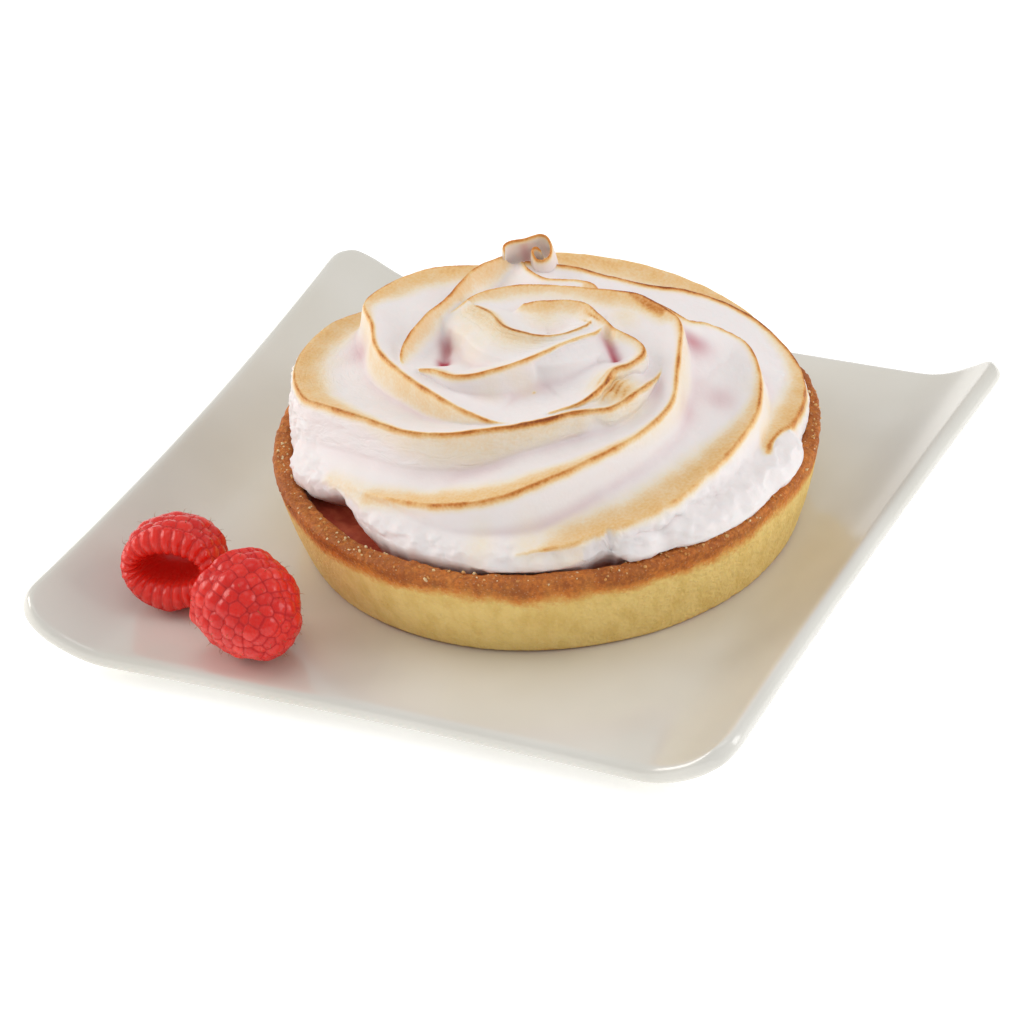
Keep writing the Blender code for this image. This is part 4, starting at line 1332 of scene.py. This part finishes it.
@dataclass
class Raspberry:
    """One raspberry about its own axis: staggered drupelets on a thimble."""

    lie: Lie
    name: str
    length: float
    x: float
    y: float
    turn: float
    tip: float
    squash: float = 1.0
    radius: float = 8.8
    drupelet: float = 2.2
    hollow_wide: float = 6.0
    hollow_high: float = 3.3
    lobes: int = 24
    segments: int = 360
    rows: int = 150
    seed: int = 3
    heart: float = 6.0
    crease_round: float = 0.46
    hair_thick: float = 0.06
    hair_clear: float = 0.08
    front_limit: float = -67.0
    stations: tuple[tuple[float, int], ...] = (
        (0.03, 24), (0.15, 22), (0.27, 22), (0.39, 21), (0.50, 19), (0.61, 17), (0.72, 14), (0.83, 10),
        (0.93, 6))

    def thimble(self, t: float) -> tuple[float, float]:
        """Radius and height from the open end (0) to the tip (1)."""
        angle = pi / 2 * t
        swell = 0.86 + 0.14 * sin(pi * min(t * 1.6, 1.0))
        return self.radius * swell * cos(angle) ** 0.55, self.length * sin(angle) ** 1.15

    def centres(self) -> np.ndarray:
        """Centres of the drupelets with a little natural scatter."""
        rng = Random(self.seed)
        spots = []
        for row, (t, count) in enumerate(self.stations):
            radius, height = self.thimble(t)
            for k in range(count):
                stray = 0.03 if row == 0 else 0.16
                angle = 2 * pi * (k + 0.5 * (row % 2) + rng.uniform(-stray, stray)) / count
                out = radius * rng.uniform(0.85, 0.91)
                spots.append((out * cos(angle), out * sin(angle), height * 0.93 + rng.uniform(-0.3, 0.3)))
        spots.append((0.0, 0.0, self.length * 0.95))
        return np.array(spots)

    def place(self) -> Matrix:
        """Where the berry lies, in millimetres, before it is dropped on the dish."""
        lay = Matrix.Rotation(radians(self.turn), 4, "Z") @ Matrix.Rotation(radians(self.tip), 4, "X")
        flat = Matrix.Scale(self.squash, 4, Vector((0, 0, 1)))
        return Matrix.Translation(Vector((self.x, self.y, 0))) @ flat @ lay

    def body(self) -> tuple[np.ndarray, np.ndarray, np.ndarray, int]:
        """Work out the surface.

        Returns:
            Points, how far each stands clear of a crease, each one's drupelet, and the rings.
        """
        centres = self.centres()
        turns = np.arange(self.segments) * 2 * pi / self.segments
        rings, domes, owners = [], [], []
        inner = []
        if self.lie is Lie.HOLLOW_SIDEWAYS:
            for depth, share in ((0.46, 0.25), (0.43, 0.5), (0.37, 0.72), (0.28, 0.84), (0.2, 0.9),
                                 (0.13, 0.94), (0.06, 0.98)):
                inner.append((self.hollow_wide * share, self.hollow_high * share, self.length * depth, 0.03))
            for k in range(9):
                share = k / 8.6
                inner.append((self.hollow_wide + (self.radius + 0.1 - self.hollow_wide) * share,
                              self.hollow_high + (self.radius + 0.1 - self.hollow_high) * share,
                              0.5 - 1.5 * sin(pi * share) ** 0.7, 0.10 * (0.55 - share)))
        else:
            for share, along in ((0.14, 4.2), (0.28, 4.0), (0.36, 2.6), (0.40, 0.6), (0.48, -0.4),
                                 (0.62, -0.8)):
                inner.append((self.radius * share, self.radius * share, along, 0.06))
        bulge = (0.5 + 0.5 * np.cos(self.lobes * turns)) ** 0.6
        bulge *= 0.85 + 0.15 * np.sin(3 * turns + self.seed)
        sizes = self.drupelet * np.random.default_rng(self.seed + 7).uniform(0.88, 1.06, len(centres))
        for wide, high, along, relief in inner:
            inward = 1 - relief * (bulge - 0.6)
            rings.append(np.stack([wide * inward * np.cos(turns), high * inward * np.sin(turns),
                                   along - 0.5 * bulge * (along < 1)], axis=1))
            domes.append(np.where(along > 1, 0.4, 0.25 + 0.6 * bulge))
            owners.append(np.full(self.segments, len(centres) if along > 1 else 0))
        for row in range(self.rows):
            t = 0.985 * row / (self.rows - 1)
            radius, height = self.thimble(t)
            flat = np.full_like(turns, height)
            ring = np.stack([radius * np.cos(turns), radius * np.sin(turns), flat], axis=1)
            origin = np.array((0.0, 0.0, min(height, self.heart)))
            ray = ring - origin
            reach = np.linalg.norm(ray, axis=1)
            ray /= reach[:, None]
            to_centre = centres - origin
            along = ray @ to_centre.T
            off = (to_centre ** 2).sum(axis=1)[None, :] - along ** 2
            hit = np.where(off < sizes ** 2, along + np.sqrt(np.clip(sizes ** 2 - off, 0, None)), -np.inf)
            two = np.sort(hit, axis=1)[:, -2:]
            owner = hit.argmax(axis=1)
            base = reach * 0.9
            best = np.maximum(two[:, 1], base)
            second = np.maximum(two[:, 0], base)
            soft = self.crease_round
            rounded = best + soft * np.log1p(np.exp(-(best - second) / soft)) * 0.6
            rings.append(origin + ray * rounded[:, None])
            domes.append(np.clip((best - second) / 0.7, 0, 1))
            owners.append(owner)
        return np.vstack(rings), np.concatenate(domes), np.concatenate(owners), len(rings)

    def build(self, finish: Finish, hair: Finish) -> list[bpy.types.Object]:
        """Make the berry and its hairs, in the place of its solid."""
        points, dome, owner, count = self.body()
        ends = [points[:self.segments].mean(axis=0), points[-self.segments:].mean(axis=0)]
        points = np.vstack([points, *ends])
        dome = np.concatenate([dome, [0.4, 0.6]])
        owner = np.concatenate([owner, [0, 0]])
        faces = ring_quads(count, self.segments) + end_fans(count, self.segments)
        place = np.array(self.place())
        placed = points @ place[:3, :3].T + place[:3, 3]
        drop = DISH_TOP + 0.02 - placed[:, 2].min()
        placed[:, 2] += drop
        obj = computed_piece(self.name, placed, faces)
        face_outwards(obj)
        rng = np.random.default_rng(self.seed)
        tones = rng.uniform(0.1, 0.8, len(self.centres()) + 1)
        tones[-1] = 1.0
        store(obj, "dome", dome)
        store(obj, "tone", tones[owner])
        obj.data.materials.append(finish.build())
        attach(obj, "root")
        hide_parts(self.lie.value)
        return [obj, self.hairs(hair, place, drop)]

    def hairs(self, finish: Finish, place: np.ndarray, drop: float) -> bpy.types.Object:
        """Grow one dry style from most drupelets: thin tapered hairs, bent at random."""
        rng = Random(self.seed + 40)
        points, faces = [], []
        for centre in self.centres():
            if rng.random() < 0.5:
                continue
            out = Vector(centre) - Vector((0, 0, min(centre[2], self.heart)))
            out.normalize()
            root = Vector(centre) + out * (self.drupelet - 0.15)
            stray = Vector((rng.uniform(-1, 1), rng.uniform(-1, 1), rng.uniform(-1, 1)))
            side = out.cross(stray).normalized()
            across = out.cross(side)
            length, bend = rng.uniform(0.8, 1.9), rng.uniform(0.3, 1.3)
            base = len(points)
            for step in range(5):
                t = step / 4
                spot = root + out * length * t * (1 - 0.35 * t) + side * bend * t * t
                thick = self.hair_thick * (1 - 0.75 * t)
                for corner in range(3):
                    angle = 2 * pi * corner / 3
                    points.append(spot + (side * cos(angle) + across * sin(angle)) * thick)
            faces += [tuple(base + v for v in face) for face in ring_quads(5, 3)]
            faces += [(base + 2, base + 1, base), (base + 12, base + 13, base + 14)]
        placed = np.array(points) @ place[:3, :3].T + place[:3, 3]
        placed[:, 2] = np.maximum(placed[:, 2] + drop, DISH_TOP + self.hair_clear)
        placed[:, 1] = np.maximum(placed[:, 1], self.front_limit)
        obj = computed_piece(self.name + "_hairs", placed, faces)
        obj.data.materials.append(finish.build())
        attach(obj, "root")
        return obj


# --- studio -------------------------------------------------------------------
@dataclass
class Studio:
    """A pale paper floor, soft light and the camera."""

    turn: float = 28.04
    elevation: float = 33.52
    roll: float = -5.44
    distance: float = 984.2
    aim: tuple[float, float, float] = (5.40, 1.47, 6.0)
    lens: float = 188.09
    shift_x: float = -0.0409
    shift_y: float = -0.0025

    def camera(self) -> None:
        """Stand the camera at its bearing and height, with its roll."""
        away = radians(self.turn)
        rise = radians(self.elevation)
        forward = Vector((-sin(away) * cos(rise), cos(away) * cos(rise), -sin(rise)))
        level = Vector((cos(away), sin(away), 0))
        above = level.cross(forward)
        tilt = radians(self.roll)
        right = level * cos(tilt) + above * sin(tilt)
        up = above * cos(tilt) - level * sin(tilt)
        spin = Matrix((right, up, -forward)).transposed().to_4x4()
        spot = (Vector(self.aim) - forward * self.distance) * MM
        data = bpy.data.cameras.new("camera")
        data.lens = self.lens
        data.shift_x, data.shift_y = self.shift_x, self.shift_y
        data.clip_start = 0.05
        camera = bpy.data.objects.new("camera", data)
        camera.matrix_world = Matrix.Translation(spot) @ spin
        bpy.context.collection.objects.link(camera)
        bpy.context.scene.camera = camera

    def softbox(self, name: str, spot: tuple[float, float, float], size: float, power: float,
                colour: str) -> None:
        """Hang one square soft light that faces the tartlet.

        Args:
            name: Name of the light.
            spot: Its place in metres.
            size: Its side in metres.
            power: Its power in watts.
            colour: Its colour as hex.
        """
        data = bpy.data.lights.new(name, "AREA")
        data.shape = "SQUARE"
        data.size = size
        data.energy = power
        data.color = linear(colour)[:3]
        light = bpy.data.objects.new(name, data)
        facing = (Vector((0, 0, 0.02)) - Vector(spot)).to_track_quat("-Z", "Y")
        light.matrix_world = Matrix.Translation(Vector(spot)) @ facing.to_matrix().to_4x4()
        bpy.context.collection.objects.link(light)

    def build(self) -> None:
        """Make the floor, the lights and the camera."""
        bpy.ops.mesh.primitive_plane_add(size=6.0, location=(0, 0, 0))
        floor = bpy.context.object
        floor.name = "studio_floor"
        paper = PlainFinish("studio_paper", "#F6F6F4", "#FAFAF8", 400.0, 0.9, 0.36)
        floor.data.materials.append(paper.build())
        world = bpy.data.worlds.new("studio")
        bpy.context.scene.world = world
        world.use_nodes = True
        background = world.node_tree.nodes["Background"]
        background.inputs["Color"].default_value = linear("#FFFFFF")
        background.inputs["Strength"].default_value = 0.55
        self.softbox("key", (-0.92, -0.12, 0.49), 0.6, 4.4, "#FFFAF4")
        self.softbox("fill", (0.88, 0.3, 0.5), 0.6, 3.3, "#FFFFFF")
        self.softbox("top", (0.0, 0.0, 1.1), 0.6, 1.2, "#FFFFFF")
        bpy.context.scene.view_settings.view_transform = "Standard"
        self.camera()


def main() -> None:
    """Dress every solid in order and log the number of faces of each piece."""
    logging.basicConfig(level=logging.INFO, format="%(name)s %(message)s")
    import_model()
    crust, meringue = Shortcrust(), ToastedMeringue()
    skin, hair = RaspberrySkin(), PlainFinish("raspberry_hair", "#B98A4A", "#8E3A22", 0.6, 0.5)
    pieces = [Dish().build(GlazedPorcelain())]
    pieces += PastryCase().build(crust, RaspberryJelly())
    rose = PipedRose()
    pieces += [rose.build(meringue), rose.curl(meringue)]
    berries = (
        Raspberry(Lie.ON_SHOULDER, "whole_raspberry", 15.4, -31.4, -53.7, 60.0, 98.0, lobes=13),
        Raspberry(Lie.HOLLOW_SIDEWAYS, "hollow_raspberry", 15.2, -46.4, -50.5, 10.0, -104.0, 0.86, seed=5),
    )
    for berry in berries:
        pieces += berry.build(skin, hair)
    for piece in pieces:
        LOG.info("%s: %d faces", piece.name, len(piece.data.polygons))
    Studio().build()


if __name__ == "__main__":
    main()
